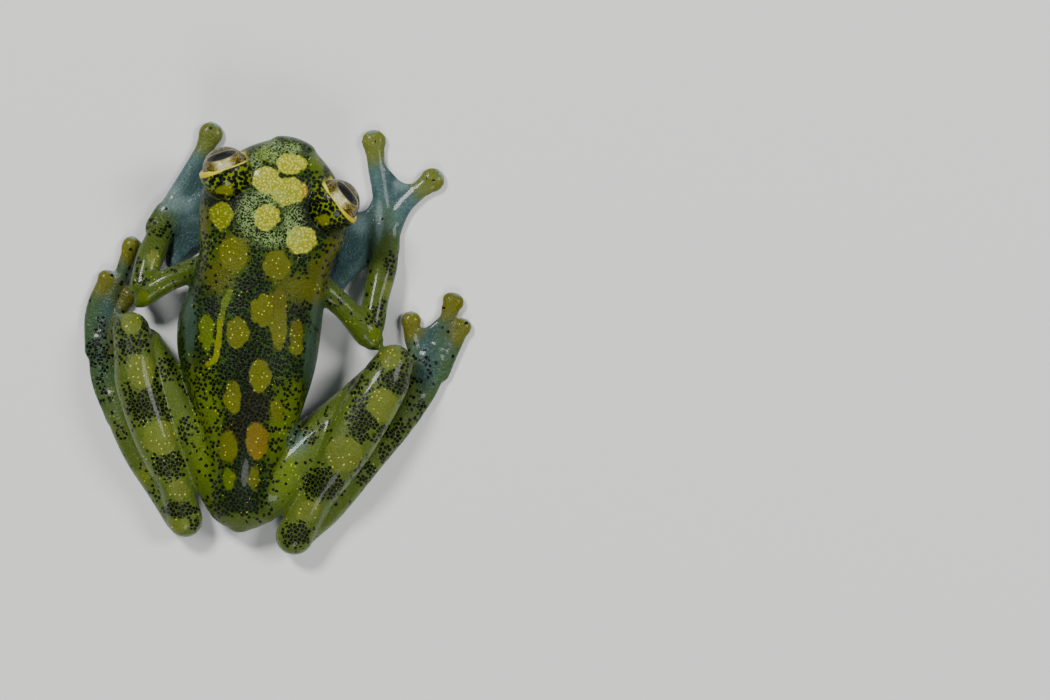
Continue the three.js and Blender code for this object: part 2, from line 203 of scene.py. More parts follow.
def webForm(root, first, second, sag, thickness, level, steps=14):
    # an upright edge along one digit, extruded round the palm to the next and shorter in between
    root, first, second = Vector(root), Vector(first), Vector(second)
    a, b = first - root, second - root
    sweep = a.angle_signed(b) / steps
    deselectAll()
    bpy.ops.mesh.primitive_plane_add(size=1, rotation=(math.pi / 2, 0, 0), location=(0.5, 0, 0))
    web = bpy.context.object
    applyPlace(web)
    editAll(web)
    bpy.ops.transform.resize(value=(a.length, 1, thickness), center_override=(0, 0, 0))
    reach = a.length
    for k in range(1, steps + 1):
        share = k / steps
        nextReach = a.lerp(b, share).length * (1 - sag * math.sin(math.pi * share))
        bpy.ops.mesh.extrude_region_move(TRANSFORM_OT_translate={"value": (0, 0, 0)})
        bpy.ops.transform.rotate(value=sweep, orient_axis="Z", center_override=(0, 0, 0))
        bpy.ops.transform.resize(value=(nextReach / reach, nextReach / reach, 1),
                                 center_override=(0, 0, 0))
        reach = nextReach
    bpy.ops.object.mode_set(mode="OBJECT")
    web.rotation_euler.z = math.atan2(a.y, a.x)
    web.location = (root.x, root.y, level)
    applyPlace(web)
    faceOutwards(web)
    return web


# The body's driving sizes, as shares of the length from snout to vent
snoutToVent = 23.8
headHalf = 0.1875 * snoutToVent
trunkHalf = 0.18 * snoutToVent
backHeight = 0.23 * snoutToVent
eyeRadius = 0.0585 * snoutToVent
thighRadius = 0.068 * snoutToVent
shankRadius = 0.056 * snoutToVent
tarsusRadius = 0.034 * snoutToVent
armRadius = 0.031 * snoutToVent

# The head's own directions, turned a little to the frog's right
headTurn = math.radians(16.5)
headMiddle = Vector((0.35, 8.92))
headForward = Vector((math.sin(headTurn), math.cos(headTurn)))
headRight = Vector((math.cos(headTurn), -math.sin(headTurn)))


def ahead(distance, sideways=0.0):
    return tuple(headMiddle + headForward * distance + headRight * sideways)


# The skin's forms, kept by the part of the body that each belongs to
forms = {}


def addForm(part, piece):
    forms.setdefault(part, []).append(piece)


trunk = {
    "steps": 44, "sides": 44, "capShare": 0.36,
    "stations": [
        [-2.3, -11.55, 1.6, 0.12, 0.35, 0.35], [-2.28, -11.2, 1.65, 0.3, 0.7, 0.75],
        [-2.25, -10.7, 1.75, 0.42, 1.05, 1.1], [-2.19, -9.78, 1.85, 0.46, 1.6, 1.55],
        [-2.07, -8.58, 2.0, 0.48, 2.1, 1.95], [-1.95, -7.38, 2.05, 0.52, 2.5, 2.12],
        [-1.83, -6.18, 2.1, 0.6, 2.75, 2.2], [-1.77, -4.98, 2.15, 0.7, 2.95, 2.25],
        [-1.77, -3.78, 2.2, 0.8, 3.05, 2.3], [-1.77, -2.46, 2.2, 0.9, backHeight - 2.25, 2.3],
        [-1.75, -1.08, 2.2, 0.98, backHeight - 2.2, 2.3], [-1.58, 0.72, 2.25, 1.0, backHeight - 2.2, 2.3],
        [-1.23, 2.22, 2.35, 0.96, backHeight - 2.3, 2.2], [-0.87, 3.72, 2.5, 0.92, backHeight - 2.45, 1.85],
        [-0.57, 4.92, 2.65, 0.93, backHeight - 2.55, 1.6],
        [*ahead(-2.9), 2.75, 0.92 * headHalf / trunkHalf, backHeight - 2.64, 1.5],
        [*ahead(-1.6), 2.75, 0.8 * headHalf / trunkHalf, backHeight - 2.75, 1.4],
    ],
}
addForm("trunk", pulledForm(trunk["stations"], trunkHalf, trunk["steps"], trunk["sides"], trunk["capShare"]))

head = {
    "steps": 40, "sides": 48, "capShare": 0.36,
    "stations": [
        [*ahead(-4.3), 2.68, 0.86, backHeight - 2.62, 1.55],
        [*ahead(-2.9), 2.75, 0.965, backHeight - 2.6, 1.5],
        [*ahead(-1.9), 2.75, 1.0, backHeight - 2.55, 1.45],
        [*ahead(-0.9), 2.8, 0.985, backHeight - 2.6, 1.45], [*ahead(0), 2.85, 0.92, backHeight - 2.65, 1.4],
        [*ahead(0.8), 2.85, 0.795, backHeight - 2.75, 1.35], [*ahead(1.4), 2.9, 0.665, 2.4, 1.3],
        [*ahead(1.85), 2.95, 0.555, 2.15, 1.2], [*ahead(2.25), 3.0, 0.43, 1.8, 1.1],
        [*ahead(2.58), 3.05, 0.31, 1.4, 0.95],
    ],
    "nostrilAhead": 2.3, "nostrilSpacing": 0.85, "nostrilLevel": 3.86, "nostrilRadii": (0.38, 0.42, 0.3),
}
skull = pulledForm(head["stations"], headHalf, head["steps"], head["sides"], head["capShare"])
addForm("head", skull)
for side in (-1, 1):
    place = (*ahead(head["nostrilAhead"], side * head["nostrilSpacing"]), head["nostrilLevel"])
    addForm("head", placedBall(place, head["nostrilRadii"], -headTurn))
print("trunk and head")

eyes = {
    "halfSpacing": 0.144 * snoutToVent, "ahead": 0.04, "level": 4.85, "splay": math.radians(34),
    "lidLift": math.radians(8), "upperLid": (1.16, 1.36, 1.09), "lowerLid": 1.06, "lowerLidDrop": 0.64,
    "lidEdge": 0.22, "pocket": 1.02, "rimReach": 1.05, "rimRadius": 0.15, "rimAhead": 0.2,
    "rimFrom": math.radians(-18), "rimTo": math.radians(198),
}


def eyePlace(side, lift):
    # the eye's own axes, lifted by an angle: +Y is the way that it looks, +Z is up
    centre = Vector((*ahead(eyes["ahead"], side * eyes["halfSpacing"]), eyes["level"]))
    facing = -(headTurn + side * eyes["splay"])
    return Matrix.Translation(centre) @ Matrix.Rotation(facing, 4, "Z") @ Matrix.Rotation(lift, 4, "X")


def setInHead(piece, side, lift):
    piece.matrix_world = eyePlace(side, lift)
    applyPlace(piece)


def lidRim():
    # the pale margin: a round section spun about the way that the eye looks
    reach = eyes["rimReach"] * eyeRadius
    deselectAll()
    bpy.ops.mesh.primitive_circle_add(vertices=12, radius=eyes["rimRadius"], fill_type="NGON")
    rim = bpy.context.object
    rim.location = (reach * math.cos(eyes["rimFrom"]), eyes["rimAhead"], reach * math.sin(eyes["rimFrom"]))
    rim.rotation_euler.y = -eyes["rimFrom"]
    applyPlace(rim)
    editAll(rim)
    bpy.ops.mesh.spin(steps=32, angle=eyes["rimTo"] - eyes["rimFrom"], center=(0, eyes["rimAhead"], 0),
                      axis=(0, -1, 0))
    bpy.ops.object.mode_set(mode="OBJECT")
    faceOutwards(rim)
    return rim


lowerLidTop = -eyes["lowerLidDrop"] * eyeRadius
for side in (-1, 1):
    pocket = ballForm([eyes["pocket"] * eyeRadius] * 3)
    cutAway(pocket, (0, 0, lowerLidTop), (0, 0, 1), keepAbove=True)
    cutAway(pocket, (0, 0, 0), (0, 1, 0), keepAbove=True)
    setInHead(pocket, side, eyes["lidLift"])
    addModifier(skull, "BOOLEAN", operation="DIFFERENCE", object=pocket, solver="EXACT")
    bpy.data.objects.remove(pocket)
    upperLid = ballForm([share * eyeRadius for share in eyes["upperLid"]])
    cutAway(upperLid, (0, eyes["lidEdge"], 0), (0, 1, 0))
    lowerLid = ballForm([eyes["lowerLid"] * eyeRadius] * 3)
    cutAway(lowerLid, (0, 0, lowerLidTop), (0, 0, 1))
    for part, piece in (("lid", upperLid), ("head", lowerLid), ("rim", lidRim())):
        setInHead(piece, side, eyes["lidLift"])
        addForm(part, piece)
print("lids")

# Each kind of limb: its radius, and its stations on the left and on the right
limbs = {
    "thigh": (thighRadius, [
        [[-3.05, -9.55, 1.45, 0.85], [-3.3, -8.5, 1.55, 1], [-4.71, -6.06, 1.55, 0.99],
         [-6.57, -2.88, 1.5, 0.9], [-7.85, -0.55, 1.65, 0.7]],
        [[-1.0, -9.95, 1.45, 0.8], [-0.15, -9.0, 1.55, 1], [1.6, -6.9, 1.55, 0.97], [4.35, -4.4, 1.5, 0.82],
         [6.1, -2.5, 1.65, 0.66]],
    ]),
    "shank": (shankRadius, [
        [[-8.67, 0.36, 2.35, 0.86, 1.1], [-8.49, -1.08, 2.55, 0.93, 1.15], [-8.25, -2.76, 2.65, 1.03, 1.2],
         [-7.13, -6.24, 2.5, 0.97, 1.15], [-5.97, -9.12, 1.9, 0.75, 0.95], [-5.49, -10.92, 1.4, 0.81, 0.95]],
        [[6.99, -1.62, 2.4, 0.9, 1.1], [6.42, -2.79, 2.6, 1.12, 1.15], [4.51, -6.0, 2.65, 1.17, 1.2],
         [3.27, -8.1, 2.4, 0.99, 1.15], [2.13, -9.93, 1.85, 0.78, 0.95], [1.05, -11.9, 1.4, 0.87, 0.95]],
    ]),
    "tarsus": (tarsusRadius, [
        [[-5.85, -10.8, 1.05, 1.12, 0.95], [-7.05, -9.06, 0.85, 1, 0.85], [-8.31, -7.2, 0.74, 0.98, 0.8],
         [-9.25, -5.3, 0.68, 0.96, 0.7], [-9.8, -3.6, 0.56, 1, 0.54]],
        [[1.59, -11.6, 1.05, 1.12, 0.95], [3.33, -10.14, 0.85, 1, 0.85], [5.85, -7.08, 0.74, 0.98, 0.8],
         [7.35, -5.3, 0.68, 0.96, 0.7], [8.3, -3.7, 0.56, 1, 0.54]],
    ]),
    "upperArm": (armRadius, [
        [[-3.6, 4.4, 2.7, 1.15, 0.85], [-6.15, 3.54, 2.2, 0.95, 0.7], [-7.85, 2.6, 1.95, 1.05, 0.75],
         [-8.2, 2.05, 1.9, 0.5, 0.4]],
        [[2.1, 3.5, 2.7, 1.15, 0.85], [4.05, 1.74, 2.2, 0.98, 0.72], [5.4, 0.3, 1.95, 1.2, 0.8],
         [5.76, -0.18, 1.9, 0.9, 0.6]],
    ]),
    "forearm": (armRadius, [
        [[-8.1, 2.95, 1.75, 1, 0.72], [-7.6, 4.74, 1.3, 1.14, 0.78], [-7.1, 5.9, 0.88, 1.1, 0.62],
         [-6.75, 6.9, 0.58, 1.0, 0.42], [-6.3, 7.9, 0.42, 0.8, 0.28]],
        [[5.67, 0.66, 1.75, 1.08, 0.75], [5.91, 2.22, 1.4, 1.08, 0.78], [6.33, 4.14, 1.0, 1.2, 0.72],
         [6.42, 5.2, 0.74, 1.15, 0.54], [6.45, 6.3, 0.5, 1.0, 0.38], [6.45, 7.3, 0.4, 0.8, 0.26]],
    ]),
}
for part, (radius, pair) in limbs.items():
    for stations in pair:
        addForm(part, pulledForm(stations, radius))
print("limbs")

digits = {
    "fingerWidth": 0.56, "toeWidth": 0.46, "rootShare": 1.5, "tipHighlightShare": 1.02, "height": 0.36, "level": 0.29,
    "discRise": 0.06, "neckBack": 0.75, "neckLength": 0.85, "neckShare": 0.82, "webThickness": 0.36,
    "webLevel": 0.33, "steps": 14, "sides": 16, "palmSteps": 10, "palmSides": 20,
}
# Each hand and foot, left and right: the palm's stations, each digit's points with the radius and the
# stretch of its disc, and each web's root, its two tips and its sag
hands = [
    {"goldenTips": 2,
     "palm": [[-6.95, 6.5, 0.6, 1.0, 0.5], [-6.45, 7.3, 0.45, 1.0, 0.42]],
     "digits": [
         ([(-6.5, 7.3), (-5.15, 9.95), (-4.41, 11.22), (-3.99, 12.18)], 0.76, 1),
         ([(-6.2, 7.4), (-3.5, 8.7), (-1.17, 9.9)], 0.76, 1),
         ([(-6.1, 7.0), (-4.5, 6.85), (-3.0, 6.4)], 0.66, 1),
         ([(-6.4, 6.7), (-6.2, 5.4), (-6.1, 4.5)], 0.62, 1)],
     "webs": [
         ((-6.3, 7.0), (-4.3, 11.45), (-1.7, 9.6), 0.2), ((-6.3, 6.8), (-2.0, 9.5), (-3.1, 6.5), 0.2),
         ((-6.6, 6.9), (-3.2, 6.3), (-6.2, 4.0), 0.08)]},
    {"goldenTips": 2,
     "palm": [[6.45, 5.2, 0.58, 0.92, 0.48], [6.45, 6.3, 0.45, 0.95, 0.42]],
     "digits": [
         ([(6.6, 6.2), (7.5, 7.75), (8.45, 8.75), (9.3, 9.42)], 0.76, 1),
         ([(6.4, 6.4), (6.25, 8.3), (5.95, 10.2), (5.79, 11.72)], 0.76, 1),
         ([(6.2, 6.1), (4.6, 6.95), (3.15, 7.62)], 0.66, 1),
         ([(6.2, 5.6), (4.85, 4.45), (3.57, 3.3)], 0.66, 1)],
     "webs": [
         ((6.6, 5.6), (6.1, 10.75), (8.9, 9.35), 0.16), ((6.3, 5.9), (6.0, 8.9), (3.4, 7.6), 0.3),
         ((6.6, 5.4), (3.15, 7.6), (3.4, 3.4), 0.06)]},
]
feet = [
    {"goldenTips": 5,
     "palm": [[-9.5, -4.7, 0.55, 0.86, 0.5], [-10.25, -2.5, 0.48, 0.95, 0.44],
              [-10.45, -0.4, 0.42, 0.95, 0.4]],
     "digits": [
         ([(-10.9, -0.8), (-11.15, 1.0), (-10.85, 2.3), (-10.25, 3.5)], 0.57, 1),
         ([(-10.5, -0.6), (-10.2, 1.5), (-9.35, 3.7), (-8.8, 5.4)], 0.57, 1.25),
         ([(-10.2, -0.6), (-9.6, 1.2), (-8.85, 2.5)], 0.57, 1),
         ([(-10.1, -1.2), (-9.8, -0.2), (-9.35, 0.7)], 0.5, 1),
         ([(-10.0, -1.8), (-9.7, -1.2), (-9.4, -0.6)], 0.48, 1)],
     "webs": [
         ((-10.6, -1.0), (-10.5, 3.2), (-9.3, 4.1), 0.14), ((-10.4, -1.0), (-9.4, 3.6), (-8.9, 2.4), 0.15),
         ((-10.1, -1.2), (-9.3, 1.9), (-9.4, 0.6), 0.3)]},
    {"goldenTips": 5,
     "palm": [[7.75, -4.7, 0.55, 0.86, 0.5], [8.75, -2.9, 0.48, 0.98, 0.44], [9.25, -1.4, 0.42, 1.02, 0.4]],
     "digits": [
         ([(9.7, -2.1), (10.3, -1.2), (10.75, -0.2), (11.1, 0.6)], 0.57, 1),
         ([(9.3, -1.6), (9.85, 0.0), (10.2, 1.2), (10.55, 2.15)], 0.7, 0.8),
         ([(8.9, -2.0), (8.3, -0.9), (8.02, 0.0), (8.02, 0.97)], 0.62, 1),
         ([(8.6, -2.5), (8.0, -2.0), (7.45, -1.4)], 0.5, 1),
         ([(8.4, -3.2), (7.9, -3.0), (7.5, -2.7)], 0.48, 1)],
     "webs": [
         ((9.4, -2.0), (11.0, 0.7), (10.3, 1.6), 0.12), ((9.1, -2.2), (9.9, 1.35), (8.05, 0.6), 0.12),
         ((8.7, -2.8), (8.0, -0.2), (7.6, -1.4), 0.3)]},
]
digitTips = []


def addDigit(part, tipPart, points, halfWidth, discRadius, stretch):
    # broad at its root, narrow in the middle and a little broader at its tip, under a disc with a neck
    shares = [digits["rootShare"]] + [1.0] * (len(points) - 2) + [digits["tipHighlightShare"]]
    stations = [[*point, digits["level"], share, digits["height"]] for point, share in zip(points, shares)]
    addForm(part, pulledForm(stations, halfWidth, digits["steps"], digits["sides"]))
    tip, before = Vector(points[-1]), Vector(points[-2])
    turn = math.atan2(tip.y - before.y, tip.x - before.x)
    radii = (discRadius * stretch, discRadius, digits["height"] + digits["discRise"])
    addForm(tipPart, placedBall((tip.x, tip.y, digits["level"]), radii, turn))
    direction = (tip - before).normalized()
    neck = tip - direction * digits["neckBack"] * discRadius
    radii = (digits["neckLength"] * discRadius, digits["neckShare"] * discRadius, digits["height"])
    addForm(tipPart, placedBall((neck.x, neck.y, digits["level"]), radii, turn))
    digitTips.append((tipPart, tip, direction, discRadius * stretch))


for part, pair, halfWidth in (("hand", hands, digits["fingerWidth"]), ("foot", feet, digits["toeWidth"])):
    for shape in pair:
        addForm(part, pulledForm(shape["palm"], 1.0, digits["palmSteps"], digits["palmSides"]))
        for number, (points, discRadius, stretch) in enumerate(shape["digits"]):
            # the inner digits have no golden tips
            tipPart = part + "Tip" if number < shape["goldenTips"] else part
            addDigit(part, tipPart, points, halfWidth, discRadius, stretch)
        for web in shape["webs"]:
            addForm(part + "Web", webForm(*web, digits["webThickness"], digits["webLevel"]))
print("hands and feet")

# One skin: the forms are merged by a voxel remesh, and eased where limbs meet the body and bend
skinMaking = {
    "voxel": 0.105, "triangles": 190000, "smoothing": 0.5, "steps": 8, "lidSteps": 2, "lidReach": 2.1,
    "easing": 0.5, "easingSteps": 26, "weightSteps": 20,
    "joints": [
        [-4.2, 4.3, 1.5], [2.6, 3.2, 1.5], [-3.4, -8.9, 1.7], [-0.3, -9.0, 1.7], [-2.1, -11.0, 1.6],
        [-8.1, 2.4, 1.0], [5.7, 0.0, 1.0], [-8.2, -0.2, 1.2], [6.6, -2.1, 1.2], [-5.6, -10.9, 1.1],
        [1.3, -11.7, 1.1], [-6.7, 6.6, 1.3], [6.4, 5.6, 1.3], [-9.7, -4.3, 1.2], [8.0, -4.3, 1.2],
    ],
}
skinForms = [(part, piece.data.copy()) for part, pieces in forms.items() for piece in pieces]
skin = joined([piece for pieces in forms.values() for piece in pieces], "frog_skin")
addModifier(skin, "REMESH", mode="VOXEL", voxel_size=skinMaking["voxel"])


def ofVertices(piece, kind="co"):
    vectors = np.empty(3 * len(piece.data.vertices))
    piece.data.vertices.foreach_get(kind, vectors)
    return vectors.reshape(-1, 3)


def rising(values, low, high):
    # from 0 to 1 with soft ends
    share = np.clip((values - low) / (high - low), 0, 1)
    return share * share * (3 - 2 * share)


def softShare(distance):
    return rising(1 - distance, 0, 1)


def modifyWhere(piece, name, weights, kind, **settings):
    # a few steps of weight are enough for a modifier
    group = piece.vertex_groups.new(name=name)
    full = skinMaking["weightSteps"]
    steps = np.round(weights * full).astype(int)
    for step in range(1, full + 1):
        group.add(np.flatnonzero(steps == step).tolist(), step / full, "REPLACE")
    addModifier(piece, kind, vertex_group=name, **settings)


addModifier(skin, "SMOOTH", factor=skinMaking["smoothing"], iterations=skinMaking["lidSteps"])
places = ofVertices(skin)
fromEyes = [np.linalg.norm(places - np.array(eyePlace(side, 0).translation), axis=1) for side in (-1, 1)]
awayFromLids = np.clip(np.minimum(*fromEyes) - skinMaking["lidReach"], 0, 1)
modifyWhere(skin, "awayFromLids", awayFromLids, "SMOOTH", factor=skinMaking["smoothing"],
            iterations=skinMaking["steps"])
easing = np.zeros(len(places))
for x, y, radius in skinMaking["joints"]:
    easing = np.maximum(easing, softShare(np.hypot(places[:, 0] - x, places[:, 1] - y) / radius))
modifyWhere(skin, "joints", easing, "SMOOTH", factor=skinMaking["easing"],
            iterations=skinMaking["easingSteps"])

# The nostrils are pits in their bumps, and the mouth is a fine groove round the head
details = {
    "pitAhead": 0.22, "pitOutwards": 0.12, "pitRadius": 0.2, "pitDepth": 0.16, "pitDrop": 0.3,
    "mouthLevel": 2.35, "mouthRise": 0.06, "mouthHalf": 0.14, "mouthFrom": -3.2, "mouthDepth": 0.12,
}
places = ofVertices(skin)
pits = np.zeros(len(places))
above = places[:, 2] > head["nostrilLevel"] - details["pitDrop"]
for side in (-1, 1):
    nostril = np.array(ahead(head["nostrilAhead"] + details["pitAhead"],
                             side * (head["nostrilSpacing"] + details["pitOutwards"])))
    distance = np.linalg.norm(places[:, :2] - nostril, axis=1)
    pits = np.maximum(pits, above * softShare(distance / details["pitRadius"]))
modifyWhere(skin, "nostrils", pits, "DISPLACE", strength=-details["pitDepth"], mid_level=0)
forward = (places[:, :2] - np.array(headMiddle)) @ np.array(headForward)
offMouth = np.abs(places[:, 2] - details["mouthLevel"] - details["mouthRise"] * forward)
mouth = softShare(offMouth / details["mouthHalf"]) * np.clip(forward - details["mouthFrom"], 0, 1)
modifyWhere(skin, "mouth", mouth, "DISPLACE", strength=-details["mouthDepth"], mid_level=0)
faces = len(skin.data.polygons)
addModifier(skin, "DECIMATE", ratio=min(1, skinMaking["triangles"] / (2 * faces)))
print("skin of", len(skin.data.polygons), "faces")

# How near each place of the skin is to each form tells which part of the body it belongs to
belonging = {"softness": 0.16, "reach": 1.0, "pull": {"handTip": 5.0, "footTip": 5.0, "rim": 2.2}}
places = ofVertices(skin)
nearness = {}
for part, mesh in skinForms:
    corners = np.array([vertex.co for vertex in mesh.vertices])
    surface = BVHTree.FromPolygons(corners.tolist(), [face.vertices[:] for face in mesh.polygons])
    low, high = corners.min(axis=0) - belonging["reach"], corners.max(axis=0) + belonging["reach"]
    near = nearness.setdefault(part, np.zeros(len(places)))
    for k in np.flatnonzero(np.all((places > low) & (places < high), axis=1)):
        share = math.exp(-surface.find_nearest(places[k])[3] / belonging["softness"])
        near[k] = max(near[k], belonging["pull"].get(part, 1.0) * share)
    bpy.data.meshes.remove(mesh)
total = sum(nearness.values()) + 1e-9
shares = {part: near / total for part, near in nearness.items()}
print("parts of the body found on the skin")

# Colours are written as they look, from 0 to 255, and turned into light for the shaders
toneDepth = {"strength": 0.75, "purity": 1.2}
tones = {
    "backGreen": (44, 68, 12), "sideGreen": (98, 116, 34), "headGreen": (50, 78, 22),
    "legGreen": (88, 104, 46), "paleEdgeRimLight": (104, 122, 84), "armGreen": (74, 90, 32),
    "footGreen": (66, 88, 58), "silver": (168, 190, 190), "olive": (88, 90, 18), "brown": (60, 42, 20),
    "dark": (18, 28, 8), "slate": (58, 80, 80), "slateLight": (88, 112, 110), "fingertip": (108, 114, 26),
    "toetip": (108, 106, 32), "flank": (60, 80, 66), "bodySpot": (98, 102, 36), "greenSpot": (92, 108, 24),
    "headSpot": (182, 184, 84), "cheekSpot": (116, 124, 36), "limbSpot": (106, 116, 54),
    "orangeSpot": (124, 108, 44), "yellowSpot": (122, 128, 34), "darkSpot": (88, 88, 22),
    "ochre": (178, 134, 26), "lidGold": (114, 130, 20), "rimCream": (246, 240, 118),
    "rimGold": (222, 200, 50), "dotBlack": (3, 6, 2), "underDots": (18, 38, 4), "limeNet": (128, 148, 40),
    "highlightedGranule": (240, 236, 130), "paintedCreaseShade": (112, 120, 30), "paintedGlint": (226, 224, 120),
    "paintedReflectionTone": (172, 196, 132), "boneLine": (150, 176, 186), "underSkin": (118, 138, 134),
    "glassDark": (30, 44, 48), "white": (226, 224, 220), "cream": (214, 196, 160), "amber": (176, 120, 34),
    "red": (176, 70, 62), "vein": (150, 168, 164), "pink": (176, 130, 124),
    "irisCream": (254, 246, 196), "irisGold": (206, 186, 84), "irisBrown": (44, 28, 14),
    "ringSilver": (176, 170, 120), "ballGreen": (120, 120, 36), "pupilBlack": (1, 1, 2),
}


def light(tone):
    # a little deeper and purer than the tone, which the view and the gloss soften again
    shade = np.array(tones[tone]) / 255
    linear = np.where(shade < 0.04045, shade / 12.92, ((shade + 0.055) / 1.055) ** 2.4)
    purer = linear.mean() + toneDepth["purity"] * (linear - linear.mean())
    return np.clip(purer, 0, 1) * toneDepth["strength"]


# The finish of each part of the body: its ground colour, how many dots it has and how glassy it is
partFinish = {
    "trunk": ("backGreen", 0.95, 0.0), "head": ("headGreen", 1.0, 0.0),
    "lid": ("lidGold", 1.3, 0.0), "rim": ("lidGold", 1.3, 0.0),
    "thigh": ("legGreen", 0.03, 0.1), "shank": ("legGreen", 0.05, 0.05), "tarsus": ("legGreen", 0.05, 0.15),
    "upperArm": ("armGreen", 0.02, 0.2), "forearm": ("armGreen", 0.06, 0.2),
    "hand": ("slateLight", 0.0, 0.9), "handTip": ("fingertip", 0.0, 0.3), "handWeb": ("slate", 0.0, 1.0),
    "foot": ("footGreen", 0.12, 0.6), "footTip": ("toetip", 0.0, 0.3), "footWeb": ("slate", 0.0, 0.9),
}

# What the back shows, in pixels of the photograph. A span is left, top, right and bottom.
# A wash is a tone, its strength and its spans, and tints the ground. A patch of dots is a span and how dense
# they are. A spot is a tone and its spans, pale and free of dots, and a line is a narrow spot.
backMarks = {
    "washes": [
        ("sideGreen", 0.85, (192, 366, 224, 500), (266, 384, 300, 500)),
        ("sideGreen", 0.6, (186, 350, 204, 400), (196, 230, 214, 268)),
        ("dark", 0.45, (232, 340, 262, 440)),
        ("slate", 0.7, (414, 332, 438, 392)),
        ("flank", 0.9, (183, 285, 197, 360)),
        ("flank", 0.85, (309, 296, 332, 330), (303, 325, 320, 395)),
        ("olive", 0.9, (216, 232, 252, 272)),
        ("olive", 0.8, (200, 258, 236, 296)),
        ("olive", 0.6, (262, 246, 292, 282)),
        ("olive", 0.9, (276, 272, 334, 306), (308, 252, 336, 284), (196, 202, 212, 242),
         (322, 232, 348, 266)),
        ("greenSpot", 0.8, (255, 146, 275, 164), (308, 150, 326, 178)),
        ("dark", 0.6, (205, 290, 217, 320), (190, 342, 206, 372)),
        ("dark", 0.5, (288, 298, 310, 322), (294, 358, 304, 372)),
        ("brown", 0.6, (240, 388, 274, 424)),
        ("brown", 0.55, (222, 412, 250, 448)),
        ("greenSpot", 0.8, (286, 376, 304, 430)),
        ("dark", 0.8, (203, 190, 254, 208)),
        ("dark", 0.7, (298, 194, 318, 236), (316, 222, 352, 240)),
        ("limbSpot", 0.4, (165, 476, 192, 502), (292, 496, 322, 522)),
        ("slateLight", 0.6, (286, 424, 308, 458)),
        ("legGreen", 0.8, (212, 512, 276, 534)),
        ("yellowSpot", 0.4, (134, 464, 152, 482)),
        ("slate", 0.6, (104, 298, 114, 332)),
        ("limbSpot", 0.4, (296, 446, 306, 464)),
    ],
    "dots": [
        (192, 372, 222, 500, 0.62), (268, 384, 300, 500, 0.55), (180, 340, 204, 420, 0.7),
        (228, 326, 268, 442, 1.25), (234, 274, 266, 306, 1.25), (229, 440, 252, 500, 1.2),
        (215, 492, 261, 524, 1.25), (203, 188, 254, 210, 1.4), (298, 192, 319, 238, 1.4),
        (314, 220, 352, 240, 1.4), (196, 202, 212, 244, 0.16), (322, 234, 350, 268, 0.2),
        (216, 235, 252, 276, 0.0), (202, 256, 236, 298, 0.12), (262, 248, 291, 282, 0.05),
        (276, 274, 334, 304, 0.05), (308, 254, 336, 282, 0.2), (290, 259, 307, 277, 0.85),
        (255, 146, 275, 163, 0.15), (308, 150, 326, 178, 0.3), (183, 285, 196, 360, 0.0),
        (310, 296, 332, 330, 0.0), (304, 325, 320, 395, 0.0), (262, 425, 277, 462, 0.45),
        (206, 425, 223, 448, 0.45), (284, 402, 292, 427, 0.4), (291, 378, 302, 404, 0.1),
        (284, 396, 294, 428, 0.2), (212, 514, 276, 534, 0.0),
    ],
    "lines": [
        (7, "greenSpot", [(230, 292), (224, 304), (221, 318)]),
        (6, "yellowSpot", [(221, 316), (219, 336), (217, 350), (215, 360), (208, 364)]),
        (3, "darkSpot", [(284, 312), (276, 302), (270, 294)]),
    ],
    # spans of painted reflection: the pale net where the wet skin of the head reflects the light
    "paintedReflection": [
        (237, 194, 258, 234), (283, 202, 304, 246), (250, 188, 288, 207), (260, 138, 284, 163),
        (281, 141, 302, 156), (258, 228, 288, 248), (250, 150, 262, 172), (246, 232, 262, 244),
    ],
    "spots": [
        ("headSpot", (276, 153, 306, 175), (251, 166, 281, 194), (271, 177, 306, 205), (253, 204, 281, 230),
         (286, 226, 318, 254)),
        ("ochre", (252, 171, 261, 187), (299, 182, 307, 198)),
        ("cheekSpot", (210, 202, 234, 228)),
        ("yellowSpot", (216, 184, 234, 196), (318, 213, 330, 227), (226, 472, 236, 482)),
        ("bodySpot", (220, 237, 248, 272), (263, 250, 290, 280), (250, 294, 274, 327), (226, 317, 249, 350),
         (270, 300, 287, 351), (277, 303, 284, 316), (289, 338, 303, 356), (249, 358, 271, 393),
         (223, 382, 242, 414), (270, 399, 285, 421), (219, 430, 238, 464), (248, 465, 260, 490)),
        ("darkSpot", (270, 287, 287, 318), (289, 320, 304, 346)),
        ("greenSpot", (198, 313, 214, 350), (207, 409, 218, 420), (223, 468, 236, 492)),
        ("orangeSpot", (246, 421, 268, 460)),
    ],
}
